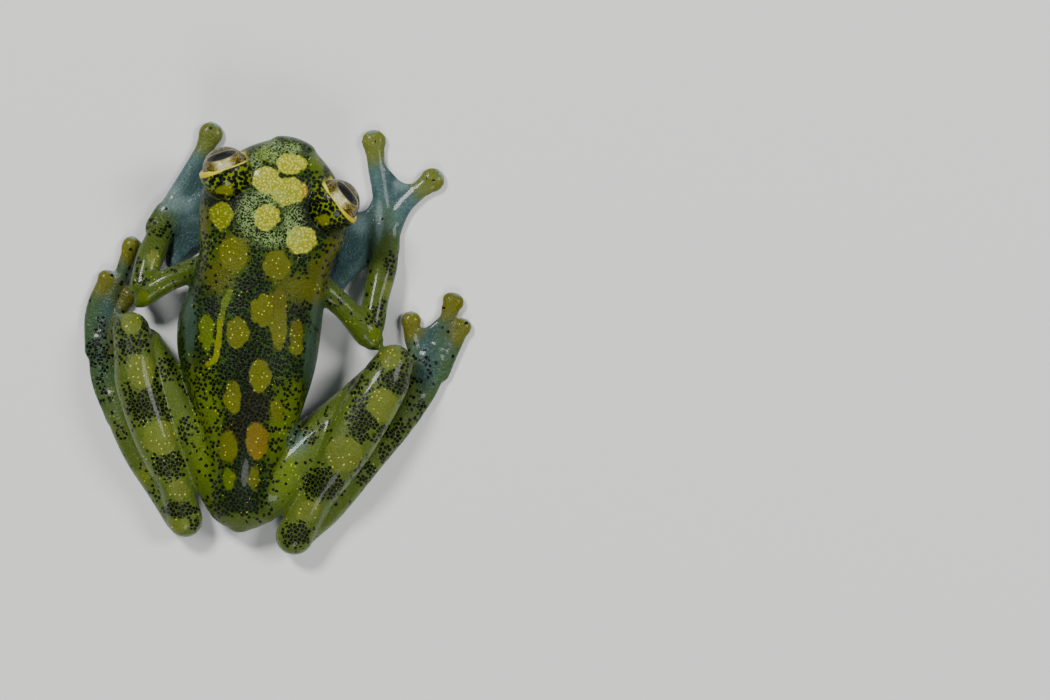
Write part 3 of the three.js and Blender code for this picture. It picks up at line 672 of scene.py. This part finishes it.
legMarks = {
    "dots": [
        (112, 318, 126, 337, 1.1), (138, 313, 154, 340, 1.05), (116, 335, 148, 354, 1.25),
        (117, 350, 128, 364, 0.9), (121, 378, 132, 397, 0.8), (126, 388, 167, 420, 1.35),
        (148, 378, 162, 394, 0.9), (132, 416, 142, 426, 0.8), (158, 411, 174, 426, 0.9),
        (152, 450, 184, 480, 1.3), (163, 501, 197, 519, 1.3), (188, 512, 198, 532, 0.9),
        (156, 356, 177, 382, 1.05), (176, 416, 194, 452, 0.85), (196, 448, 204, 496, 0.35),
        (98, 390, 114, 405, 0.8), (116, 428, 128, 440, 0.8), (148, 480, 162, 502, 0.8),
        (94, 316, 107, 337, 0.8), (86, 338, 113, 370, 1.0), (364, 351, 382, 377, 0.85),
        (398, 348, 414, 372, 0.85), (378, 366, 412, 394, 1.35), (353, 383, 380, 402, 0.9),
        (348, 400, 374, 442, 1.35), (368, 418, 384, 442, 0.9), (302, 468, 342, 502, 1.35),
        (328, 438, 337, 452, 0.8), (281, 523, 312, 547, 1.3), (346, 373, 367, 397, 0.9),
        (303, 428, 317, 447, 0.8), (316, 408, 332, 434, 0.8), (284, 464, 296, 492, 0.35),
        (274, 478, 284, 500, 0.3), (383, 420, 414, 452, 0.85), (378, 443, 397, 464, 0.85),
        (353, 458, 380, 492, 0.85), (406, 392, 424, 420, 0.7), (416, 352, 432, 392, 0.4),
        (88, 372, 104, 400, 0.5),
    ],
    "spots": [
        ("limbSpot", (121, 312, 142, 333), (127, 354, 155, 390), (143, 420, 178, 455), (168, 480, 190, 500),
         (168, 517, 190, 533), (378, 343, 402, 370), (368, 388, 398, 422), (325, 436, 362, 472),
         (296, 500, 320, 522)),
    ],
}
armMarks = {
    "washes": [
        ("armGreen", 0.95, (138, 206, 174, 246)),
        ("armGreen", 0.8, (378, 232, 402, 262)),
        # silver washes: silvery tissue with painted highlights where the wet wrists and webs catch the light
        ("silver", 0.3, (158, 182, 184, 212), (352, 212, 368, 236), (170, 196, 196, 214)),
        ("silver", 0.4, (375, 200, 383, 240)),
        ("silver", 0.35, (392, 178, 408, 192)),
    ],
    "dots": [
        (142, 219, 171, 237, 1.0), (135, 256, 146, 286, 0.7), (134, 274, 150, 288, 0.95),
        (384, 252, 400, 276, 1.0), (384, 276, 394, 292, 0.5), (366, 306, 386, 328, 1.0),
        (329, 293, 343, 310, 0.7), (164, 266, 186, 286, 0.3), (206, 124, 215, 133, 0.4),
        (369, 136, 378, 146, 0.4), (428, 172, 438, 182, 0.4),
    ],
    "spots": [
        ("limbSpot", (147, 250, 161, 268), (383, 281, 397, 301)),
        ("greenSpot", (138, 291, 150, 304), (369, 328, 383, 342)),
    ],
}

# What shows through the glassy underside, in pixels of the photograph's view from below
bellyMarks = {
    "mirrorAt": 1035.0,
    "washes": [
        ("vein", 0.75, (704, 276, 862, 442)),
        ("glassDark", 0.95, (712, 288, 754, 412), (782, 268, 850, 424)),
        ("pink", 0.5, (740, 250, 800, 278)),
        ("white", 0.95, (748, 268, 778, 322)),
        ("white", 0.9, (755, 310, 777, 340)),
        ("white", 1.0, (751, 320, 777, 372), (777, 322, 793, 366)),
        ("cream", 0.95, (752, 382, 784, 452)),
        ("white", 0.95, (776, 380, 813, 460)),
        ("amber", 0.95, (762, 361, 794, 390)),
        ("red", 0.8, (781, 386, 789, 424), (786, 410, 795, 456)),
    ],
}


def spanDistance(across, along, span):
    # 0 in the middle of a span and 1 on its oval edge
    x0, y0, x1, y1 = span
    return np.hypot((across - (x0 + x1) / 2) / ((x1 - x0) / 2), (along - (y0 + y1) / 2) / ((y1 - y0) / 2))


def lineDistance(across, along, points):
    nearest = np.full(len(across), np.inf)
    for (x0, y0), (x1, y1) in zip(points, points[1:]):
        run, rise = x1 - x0, y1 - y0
        share = np.clip(((across - x0) * run + (along - y0) * rise) / (run ** 2 + rise ** 2), 0, 1)
        nearest = np.minimum(nearest, np.hypot(across - x0 - share * run, along - y0 - share * rise))
    return nearest


# Up to what share of its span a mark is full, and how much further it fades, and a spot's fade in pixels
markEdges = {"washes": (0.45, 0.9), "dots": (0.6, 0.8), "paintedReflection": (0.5, 0.9)}
spotFade = 16
grainyTones = {"headSpot": 1.0, "ochre": 1.0, "cheekSpot": 0.45}


def markShare(kind, across, along, span):
    full, fading = markEdges[kind]
    return softShare((spanDistance(across, along, span) - full) / fading)


def tint(ground, tone, share):
    ground += share[:, None] * (light(tone) - ground)


def paintWashes(ground, across, along, washes, where):
    for tone, strength, *spans in washes:
        for span in spans:
            tint(ground, tone, strength * where * markShare("washes", across, along, span))


def paintMarks(marks, across, along, where, fields):
    # soft fields that the shader roughens, so that no mark has a drawn outline
    for *span, density in marks["dots"]:
        share = where * markShare("dots", across, along, span)
        fields["dots"] += share * (density - fields["dots"])
    for span in marks.get("paintedReflection", []):
        fields["paintedReflection"] = np.maximum(fields["paintedReflection"], where * markShare("paintedReflection", across, along, span))
    pale = []
    for tone, *spans in marks["spots"]:
        for x0, y0, x1, y1 in spans:
            inwards = 1 - spanDistance(across, along, (x0, y0, x1, y1))
            pale.append((tone, inwards * min(x1 - x0, y1 - y0) / 2 / spotFade))
    for width, tone, points in marks.get("lines", []):
        pale.append((tone, (width - 2 * lineDistance(across, along, points)) / spotFade))
    for tone, field in pale:
        field = np.clip(0.5 + field, 0, 1) * where
        nearer = field > fields["spot"]
        fields["spot"] = np.where(nearer, field, fields["spot"])
        fields["spotTone"] = np.where(nearer[:, None], light(tone), fields["spotTone"])
        fields["grain"] = np.where(nearer, grainyTones.get(tone, 0), fields["grain"])


def keepOnMesh(piece, name, kind, values):
    field = {"FLOAT_VECTOR": "vector", "FLOAT_COLOR": "color"}[kind]
    if kind == "FLOAT_COLOR":
        values = np.column_stack([values, np.ones(len(values))])
    attribute = piece.data.attributes.new(name, kind, "POINT")
    attribute.data.foreach_set(field, values.astype(np.float32).ravel())


def besideEyes():
    # each place in the axes of its nearer eye, x running outwards from the head
    beside = []
    for side in (-1, 1):
        toEye = np.array(eyePlace(side, eyes["lidLift"]).inverted())
        beside.append((places @ toEye[:3, :3].T + toEye[:3, 3]) * (side, 1, 1))
    distances = [np.linalg.norm(place, axis=1) for place in beside]
    return np.where((distances[0] < distances[1])[:, None], beside[0], beside[1])


# Facing says how steep the skin is, from -1 on the underside to 1 on top
skinPaint = {
    "upwards": (0.0, 0.35), "downwards": (0.1, 0.5), "dotFacing": (0.05, 0.5),
    "limbEdge": (0.15, 0.7), "rimLightShare": 0.8, "flank": (-0.1, 0.45), "flankShare": 0.7,
    "underShare": 0.9, "tipReach": 1.4, "tipEdge": (0.55, 0.95), "tipHighlightShare": 0.8,
}


def partShare(*parts):
    return sum(shares[part] for part in parts)


def paintSkin(piece):
    facing = ofVertices(piece, "normal")[:, 2]
    upwards, downwards = rising(facing, *skinPaint["upwards"]), rising(-facing, *skinPaint["downwards"])
    across, along = toPhoto(places)
    ground = np.zeros((len(places), 3))
    fields = {name: np.zeros(len(places)) for name in ("spot", "dots", "paintedReflection", "glass", "grain")}
    fields["spotTone"] = np.zeros((len(places), 3)) + light("bodySpot")
    for part, (tone, density, glass) in partFinish.items():
        ground += shares[part][:, None] * light(tone)
        fields["dots"] += shares[part] * density
        fields["glass"] += shares[part] * glass
    body = partShare("trunk", "head", "lid")
    legs = partShare("thigh", "shank", "tarsus", "foot", "footWeb")
    arms = partShare("upperArm", "forearm", "handTip")
    underneath = downwards * (body + legs + arms)
    fields["dots"] *= rising(facing, *skinPaint["dotFacing"])
    # steep limb edges turn paler: pale translucent edges with a painted rim light
    limbEdges = (legs + arms) * (1 - rising(facing, *skinPaint["limbEdge"]))
    tint(ground, "paleEdgeRimLight", skinPaint["rimLightShare"] * limbEdges)
    flanks = shares["trunk"] * (1 - rising(facing, *skinPaint["flank"]))
    tint(ground, "flank", skinPaint["flankShare"] * flanks)
    tint(ground, "underSkin", skinPaint["underShare"] * underneath)
    paintWashes(ground, across, along, backMarks["washes"], upwards * (body + legs))
    paintWashes(ground, across, along, armMarks["washes"], upwards * partShare("forearm", "hand", "handWeb"))
    # a silver rim at each digit's end, brightened as a painted highlight
    for part, tip, direction, radius in digitTips:
        fromTip = places[:, :2] - np.array(tip)
        near = np.linalg.norm(fromTip, axis=1) < skinPaint["tipReach"] * radius
        beyond = rising(fromTip @ np.array(direction) / radius, *skinPaint["tipEdge"])
        tint(ground, "silver", skinPaint["tipHighlightShare"] * shares[part] * near * beyond)
    paintWashes(ground, bellyMarks["mirrorAt"] - across, along, bellyMarks["washes"], downwards * body)
    for marks, part in ((backMarks, body), (legMarks, legs), (armMarks, arms)):
        paintMarks(marks, across, along, upwards * part, fields)
    fields["glass"] = np.maximum(fields["glass"], underneath)
    marked = np.column_stack([fields["spot"], fields["dots"], fields["paintedReflection"]])
    finished = np.column_stack([fields["glass"], fields["grain"], partShare("lid", "rim")])
    keepOnMesh(piece, "groundTone", "FLOAT_COLOR", ground)
    keepOnMesh(piece, "spotTone", "FLOAT_COLOR", fields["spotTone"])
    keepOnMesh(piece, "marks", "FLOAT_VECTOR", marked)
    keepOnMesh(piece, "finish", "FLOAT_VECTOR", finished)
    keepOnMesh(piece, "lidPlace", "FLOAT_VECTOR", besideEyes())


def flattenOnFloor(piece):
    # what would reach below the floor is pressed flat on it
    makeActive(piece)
    for vertex in piece.data.vertices:
        vertex.select = vertex.co.z < 0
    bpy.ops.object.mode_set(mode="EDIT")
    bpy.ops.transform.resize(value=(1, 1, 0), center_override=(0, 0, 0))
    bpy.ops.object.mode_set(mode="OBJECT")


paintSkin(skin)
flattenOnFloor(skin)
inMetres(skin, "frog_skin")
print("skin painted")


class Reading:
    # what one output of a node gives; it adds and multiplies as a number does, through Math nodes
    def __init__(self, nodes, output):
        self.nodes = nodes
        self.output = output

    def other(self, name):
        return Reading(self.nodes, self.output.node.outputs[name])

    def __add__(self, value):
        return self.nodes.math("ADD", self, value)

    def __sub__(self, value):
        return self.nodes.math("SUBTRACT", self, value)

    def __rsub__(self, value):
        return self.nodes.math("SUBTRACT", value, self)

    def __mul__(self, value):
        return self.nodes.math("MULTIPLY", self, value)

    def __abs__(self):
        return self.nodes.math("ABSOLUTE", self)

    def __gt__(self, value):
        return self.nodes.math("GREATER_THAN", self, value)


class NodeTree:
    # short ways to add nodes to one material and to link them
    def __init__(self, name):
        self.material = bpy.data.materials.new(name)
        self.material.use_nodes = True
        self.tree = self.material.node_tree
        self.shader = self.tree.nodes["Principled BSDF"]

    def give(self, socket, value):
        if isinstance(value, Reading):
            self.tree.links.new(value.output, socket)
        else:
            socket.default_value = value

    def add(self, kind, inputs, output=0, **settings):
        node = self.tree.nodes.new("ShaderNode" + kind)
        for name, value in settings.items():
            setattr(node, name, value)
        for name, value in inputs.items():
            self.give(node.inputs[name], value)
        return Reading(self, node.outputs[output])

    def math(self, operation, *values, clamp=False):
        return self.add("Math", dict(enumerate(values)), operation=operation, use_clamp=clamp)

    def vectorMath(self, operation, *values, output=0):
        return self.add("VectorMath", dict(enumerate(values)), output, operation=operation)

    def step(self, value, low, high):
        inputs = {"Value": value, "From Min": low, "From Max": high}
        return self.add("MapRange", inputs, interpolation_type="SMOOTHSTEP")

    def blend(self, share, first, second, way="MIX"):
        return self.add("Mix", {0: share, 6: first, 7: second}, 2, data_type="RGBA", blend_type=way)

    def choose(self, share, first, second):
        return self.add("Mix", {0: share, 4: first, 5: second}, 1, data_type="VECTOR")

    def shaded(self, colour, shade):
        return self.blend(1.0, colour, self.vector(shade, shade, shade), "MULTIPLY")

    def attribute(self, name, output):
        return self.add("Attribute", {}, output, attribute_name=name)

    def vector(self, *parts):
        return self.add("CombineXYZ", dict(enumerate(parts)))

    def parts(self, vector):
        split = self.add("SeparateXYZ", {"Vector": vector})
        return [split.other(axis) for axis in "XYZ"]

    def noise(self, vector, scale, detail=2.0, roughness=0.5):
        inputs = {"Vector": vector, "Scale": scale, "Detail": detail, "Roughness": roughness}
        return self.add("TexNoise", inputs)

    def cells(self, vector, scale, randomness=1.0, **settings):
        inputs = {"Vector": vector, "Scale": scale, "Randomness": randomness}
        return self.add("TexVoronoi", inputs, "Distance", voronoi_dimensions="2D", **settings)

    def put(self, values):
        for name, value in values.items():
            self.give(self.shader.inputs[name], value)


def lit(tone, gain=1.0):
    return (*np.clip(gain * light(tone), 0, 1), 1)


lidMargin = {"reach": (1.85, 1.7), "narrow": 0.05, "widening": 0.15, "edge": (-0.04, 0.04),
             "outwards": (-0.2, 1.3), "innerEnd": (-1.55, -1.15), "lowerEnd": 0.2}


def marginOfLids(nodes):
    # a pale line along the edge of each lid, wider and more golden at its outer end
    place = nodes.attribute("lidPlace", "Vector")
    x, y, z = nodes.parts(place)
    outwards = nodes.step(x, *lidMargin["outwards"])
    ahead = y + (outwards * lidMargin["widening"] + lidMargin["narrow"]) - eyes["lidEdge"]
    share = nodes.step(ahead, *lidMargin["edge"]) * nodes.step(x, *lidMargin["innerEnd"])
    share = share * nodes.step(nodes.vectorMath("LENGTH", place, output="Value"), *lidMargin["reach"])
    share = share * nodes.step(z, lowerLidTop, lowerLidTop + lidMargin["lowerEnd"])
    return share, nodes.blend(outwards, lit("rimCream"), lit("rimGold"))


# Scales count cells to the metre, and a pair of numbers is where something starts and where it is full
skinFinish = {
    "spotWobble": 0.5, "wobbleScale": 1700, "spotEdge": (0.44, 0.58), "patchScale": 420, "grainScale": 6500,
    "grainRoughness": 0.7, "shadeFloor": 0.3, "patchShade": 0.7, "grainShade": 0.7,
    "dotScale": 4300, "dotRandomness": 0.82, "dotTurn": 0.5, "dotBend": 0.00009, "dotBendScale": 5200,
    "dotRadius": 0.45, "dotSpread": 0.08, "dotOnLid": 0.05, "dotGap": 0.045, "dotEdge": (-0.04, 0.06),
    "onLid": (0.4, 0.6), "crowding": 0.25, "crowdGap": 0.4, "crowd": (0.9, 1.5), "crowdShade": 0.6,
    "netEdge": (0.48, 0.66), "netShare": 0.35, "steepTurn": 0.5,
    "granuleScale": 5400, "granuleEdge": (0.44, 0.18), "granuleLeast": 0.2, "granuleRange": 0.7,
    "paintedCreaseShade": 0.45, "glintScale": 4000, "glintEdge": (0.22, 0.08), "glintRarity": 0.76,
    "paintedGroundGlintPatches": 0.56, "paintedGroundGlint": 0.7, "reflectionScale": 5200, "reflectionEdge": (0.07, 0.01),
    "reflectionShare": 0.8, "boneScale": 900, "boneEdge": (0.035, 0.0), "boneShare": 0.1,
    "fineScale": 7000, "grainBump": 0.5, "beadBump": 0.4, "bump": 0.55, "bumpHeight": 0.00007,
    "roughness": 0.26, "fineRoughness": 0.16, "glassRoughness": 0.08,
}


def finishSkin():
    nodes, look = NodeTree("frog_skin_finish"), skinFinish
    position = nodes.add("TexCoord", {}, "Object")
    x, y, z = nodes.parts(position)
    # dots lie flat on the skin, so they are cut from above, or from the side where the skin is steep
    turnX, turnY, turnZ = [abs(part) for part in nodes.parts(position.other("Normal"))]
    steep = nodes.choose(turnX > turnY, nodes.vector(x, z), nodes.vector(y, z))
    flat = nodes.choose(turnZ > look["steepTurn"], steep, nodes.vector(x, y))
    bent = nodes.noise(position, look["dotBendScale"], detail=1.0).other("Color")
    bent = nodes.vectorMath("SUBTRACT", bent, (0.5, 0.5, 0.5))
    bent = nodes.vectorMath("MULTIPLY", bent, (look["dotBend"],) * 3)
    flat = nodes.vectorMath("ADD", flat, bent)
    flat = nodes.add("Mapping", {"Vector": flat, "Rotation": (0, 0, look["dotTurn"])})

    spotField, density, paintedReflection = nodes.parts(nodes.attribute("marks", "Vector"))
    glass, grain, lid = nodes.parts(nodes.attribute("finish", "Vector"))
    wobble = (nodes.noise(position, look["wobbleScale"]) - 0.5) * look["spotWobble"]
    spot = nodes.step(spotField + wobble, *look["spotEdge"])
    free = 1 - spot
    patches = nodes.noise(position, look["patchScale"], detail=3.0)
    grainy = nodes.noise(position, look["grainScale"], roughness=look["grainRoughness"])
    shade = patches * look["patchShade"] + look["shadeFloor"] + grainy * look["grainShade"]

    # black dots, larger and closer where they crowd, and smaller on the lids
    dots = nodes.cells(flat, look["dotScale"], look["dotRandomness"])
    gap = nodes.cells(flat, look["dotScale"], look["dotRandomness"], feature="DISTANCE_TO_EDGE")
    chance, size = nodes.parts(dots.other("Color"))[:2]
    onLid = nodes.step(lid, *look["onLid"])
    crowded = nodes.math("SUBTRACT", density, 1.0, clamp=True) * look["crowding"]
    inside = size * look["dotSpread"] - onLid * look["dotOnLid"] + look["dotRadius"] + crowded - dots
    between = gap + onLid - look["dotGap"] - crowded * look["crowdGap"]
    inside = nodes.math("MINIMUM", inside, between)
    present = density * (wobble + 1.0) > chance
    dot = nodes.step(inside, *look["dotEdge"]) * present * free
    crowdShade = nodes.step(density, *look["crowd"]) * (1 - onLid) * free * look["crowdShade"]
    net = nodes.step(dots, *look["netEdge"]) * onLid * free * look["netShare"]

    # pale granules crowd the spots of the head, each brightened at its middle by a painted highlight, with
    # painted shade in the creases between them, and sparse painted glints lie on every spot
    highlightedGranule = nodes.cells(flat, look["granuleScale"])
    bead = nodes.step(highlightedGranule, *look["granuleEdge"])
    brightness = nodes.parts(highlightedGranule.other("Color"))[0] * look["granuleRange"] + look["granuleLeast"]
    # painted glints: tiny highlights of wet skin, painted as specks of colour
    glints = nodes.cells(flat, look["glintScale"])
    rare = nodes.parts(glints.other("Color"))[0] > look["glintRarity"]
    paintedGlint = nodes.step(glints, *look["glintEdge"]) * rare
    spotted = nodes.shaded(nodes.attribute("spotTone", "Color"), shade)
    # painted shade in the creases between the granules
    spotted = nodes.blend((1 - bead) * grain * look["paintedCreaseShade"], spotted, lit("paintedCreaseShade"))
    spotted = nodes.blend(bead * grain * brightness, spotted, lit("highlightedGranule"))
    spotted = nodes.blend(paintedGlint, spotted, lit("paintedGlint"))

    # a pale net of painted reflection, where the wet skin of the head reflects the light
    ridge = abs(nodes.noise(position, look["reflectionScale"], detail=3.0) - 0.5)
    paintedReflectionShare = nodes.step(ridge, *look["reflectionEdge"]) * paintedReflection * look["reflectionShare"]
    bone = abs(nodes.noise(position, look["boneScale"], detail=3.0, roughness=0.6) - 0.5)
    bone = nodes.step(bone, *look["boneEdge"]) * glass * look["boneShare"]
    # the same painted glints on the bright patches of the ground, away from glassy parts
    paintedGroundGlint = paintedGlint * (patches > look["paintedGroundGlintPatches"]) * (1 - glass) * look["paintedGroundGlint"]

    colour = nodes.shaded(nodes.attribute("groundTone", "Color"), shade)
    for share, tone in ((crowdShade, "underDots"), (net, "limeNet"), (bone, "boneLine"),
                        (paintedGroundGlint, "paintedGlint")):
        colour = nodes.blend(share, colour, lit(tone))
    colour = nodes.blend(spot, colour, spotted)
    colour = nodes.blend(dot, colour, lit("dotBlack"))
    colour = nodes.blend(paintedReflectionShare, colour, lit("paintedReflectionTone"))
    margin, marginTone = marginOfLids(nodes)
    colour = nodes.blend(margin, colour, nodes.shaded(marginTone, shade))

    fine = nodes.noise(position, look["fineScale"])
    height = bead * (grain * look["grainBump"] + look["beadBump"]) + fine
    bump = nodes.add("Bump", {"Strength": look["bump"], "Distance": look["bumpHeight"], "Height": height})
    roughness = fine * look["fineRoughness"] - glass * look["glassRoughness"] + look["roughness"]
    nodes.put({"Base Color": colour, "Roughness": roughness, "Normal": bump, "Coat Weight": 0.16,
               "Coat Roughness": 0.08, "Specular IOR Level": 0.22, "Subsurface Weight": 0.08,
               "Subsurface Scale": 0.0006, "Subsurface Radius": (1.0, 0.9, 0.3), "IOR": 1.4})
    return nodes.material


def carryFinish(piece, material):
    piece.data.materials.clear()
    piece.data.materials.append(material)
    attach(piece, "root")


carryFinish(skin, finishSkin())
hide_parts(*[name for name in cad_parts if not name.startswith("eye_")])
print("skin finished")

# Each eye is a gold ball with a flat iris, under a clear cornea. Its pattern is in millimetres of the eye.
eyeball = {
    "segments": 72, "rings": 48, "coreShare": 0.965, "axisLift": math.radians(21), "creamGain": 1.3,
    "goldGain": 1.2, "irisAhead": 0.8, "irisSlack": 0.01, "irisSteps": 6, "irisInset": 0.14,
    "irisDip": 0.015, "pupilHalfLength": 0.8, "pupilHalfHeight": 0.37, "pupilWobble": 0.06,
    "wobbleScale": 9.0, "pupilEdge": (1.08, 1.03), "ringEdge": (1.16, 1.1), "brownRing": (1.5, 1.2),
    "brownShare": 0.7,
    "threadScale": 7.0, "threadEdge": (0.1, 0.04), "threadShare": 0.2, "threadsAtEnds": 0.8,
    "ends": (0.25, 0.8), "blotchScale": 3.0, "blotches": (0.5, 0.7), "below": (-0.3, -0.45),
    "rim": (0.98, 1.08), "rimTop": (0.5, 0.0), "bump": 0.3, "bumpHeight": 0.00003, "bumpScale": 12.0,
}


def irisedBall():
    # a turned ball cut flat in front, where the flat is inset again and again into a shallow cone
    ball = ballForm([eyeball["coreShare"] * eyeRadius] * 3, eyeball["segments"], eyeball["rings"])
    ball.rotation_euler.x = math.pi / 2
    applyPlace(ball)
    cutAway(ball, (0, eyeball["irisAhead"], 0), (0, 1, 0))
    for face in ball.data.polygons:
        face.select = face.normal.y > 0.99 and face.center.y > eyeball["irisAhead"] - eyeball["irisSlack"]
    for edge in ball.data.edges:
        edge.select = False
    makeActive(ball)
    bpy.context.tool_settings.mesh_select_mode = (False, False, True)
    bpy.ops.object.mode_set(mode="EDIT")
    for _ in range(eyeball["irisSteps"]):
        bpy.ops.mesh.inset(thickness=eyeball["irisInset"], depth=-eyeball["irisDip"])
    bpy.ops.object.mode_set(mode="OBJECT")
    bpy.context.tool_settings.mesh_select_mode = (True, False, False)
    keepOnMesh(ball, "eyePlace", "FLOAT_VECTOR", ofVertices(ball))
    return ball


def finishEyeball():
    nodes, look = NodeTree("eyeball_finish"), eyeball
    inEye = nodes.attribute("eyePlace", "Vector")
    x, y, z = nodes.parts(inEye)
    wide, tall = x * (1 / look["pupilHalfLength"]), z * (1 / look["pupilHalfHeight"])
    wobble = nodes.noise(inEye, look["wobbleScale"]) * look["pupilWobble"]
    fromPupil = nodes.math("SQRT", wide * wide + tall * tall) + wobble
    fromMiddle = nodes.math("SQRT", x * x + z * z)
    threads = abs(nodes.noise(inEye, look["threadScale"], detail=4.0, roughness=0.65) - 0.5)
    threads = nodes.step(threads, *look["threadEdge"])
    ends = nodes.step(abs(x), *look["ends"])
    webbed = threads * (ends * look["threadsAtEnds"] + look["threadShare"])
    webbed = nodes.math("MAXIMUM", webbed, nodes.step(fromPupil, *look["brownRing"]) * look["brownShare"])
    blotch = nodes.step(nodes.noise(inEye, look["blotchScale"]), *look["blotches"])
    atRim = nodes.step(fromMiddle, *look["rim"]) * nodes.step(z, *look["rimTop"])
    onIris = y > look["irisAhead"] - look["irisDip"] * look["irisSteps"] - look["irisSlack"]
    below = nodes.step(z, *look["below"])
    belowTone = nodes.blend(threads, lit("ballGreen"), lit("irisBrown"))
    ring, pupil = [nodes.step(fromPupil, *look[edge]) * onIris for edge in ("ringEdge", "pupilEdge")]
    colour = nodes.blend(blotch, lit("irisCream", look["creamGain"]), lit("irisGold", look["goldGain"]))
    for share, tone in ((ends, lit("irisGold")), (webbed, lit("irisBrown")), (below, belowTone),
                        (atRim, lit("irisBrown")), (ring, lit("ringSilver")), (pupil, lit("pupilBlack"))):
        colour = nodes.blend(share, colour, tone)
    bump = nodes.add("Bump", {"Strength": look["bump"], "Distance": look["bumpHeight"],
                              "Height": nodes.noise(inEye, look["bumpScale"])})
    nodes.put({"Base Color": colour, "Normal": bump, "Roughness": 0.5, "Specular IOR Level": 0.15})
    return nodes.material


def finishCornea():
    nodes = NodeTree("cornea_finish")
    nodes.put({"Base Color": (1, 1, 1, 1), "Roughness": 0.0, "IOR": 1.33, "Transmission Weight": 1.0})
    return nodes.material


eyeballFinish, corneaFinish = finishEyeball(), finishCornea()
for side, name in ((-1, "left"), (1, "right")):
    core = irisedBall()
    cornea = ballForm([eyeRadius] * 3, eyeball["segments"], eyeball["rings"])
    for piece, label, material in ((core, "eyeball_", eyeballFinish), (cornea, "cornea_", corneaFinish)):
        setInHead(piece, side, eyeball["axisLift"])
        inMetres(piece, label + name)
        carryFinish(piece, material)
    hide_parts("eye_" + name)
print("eyes")

# Plain pale floor, soft studio lamps (place, size and power) and a camera straight above
studio = {
    "floorSize": 4.0, "floorTone": (0.8, 0.8, 0.78, 1),
    "lights": {"keyLight": ((-0.16, 0.18, 0.3), 0.09, 1.25), "fillLight": ((0.22, 0.06, 0.24), 0.12, 0.6),
               "backLight": ((0.02, -0.26, 0.26), 0.13, 0.45)},
    "aim": (0, 0, 0.003), "airTone": (0.8, 0.84, 0.9, 1), "airStrength": 0.12, "sensorWidth": 36.0,
}


def pearlFloor():
    nodes = NodeTree("studio_floor_finish")
    nodes.put({"Base Color": studio["floorTone"], "Roughness": 0.85})
    deselectAll()
    bpy.ops.mesh.primitive_plane_add(size=studio["floorSize"])
    floor = bpy.context.object
    floor.name = "studio_floor"
    floor.data.materials.append(nodes.material)


def softLight(name, place, size, power):
    lamp = bpy.data.lights.new(name, "AREA")
    lamp.shape = "DISK"
    lamp.size = size
    lamp.energy = power
    holder = bpy.data.objects.new(name, lamp)
    holder.location = place
    towards = Vector(studio["aim"]) - Vector(place)
    holder.rotation_euler = towards.to_track_quat("-Z", "Y").to_euler()
    bpy.context.scene.collection.objects.link(holder)


pearlFloor()
for name, (place, size, power) in studio["lights"].items():
    softLight(name, place, size, power)

world = bpy.data.worlds.new("studioAir")
world.use_nodes = True
air = world.node_tree.nodes["Background"]
air.inputs["Color"].default_value = studio["airTone"]
air.inputs["Strength"].default_value = studio["airStrength"]
bpy.context.scene.world = world

camera = bpy.data.cameras.new("photoCamera")
camera.sensor_width = studio["sensorWidth"]
camera.lens = camera.sensor_width * photo["cameraHeight"] / (photo["width"] * photo["millimetresPerPixel"])
viewer = bpy.data.objects.new("photoCamera", camera)
viewer.location = (photo["cameraX"] * mm, photo["cameraY"] * mm, photo["cameraHeight"] * mm)
bpy.context.scene.collection.objects.link(viewer)
bpy.context.scene.camera = viewer
print("studio")
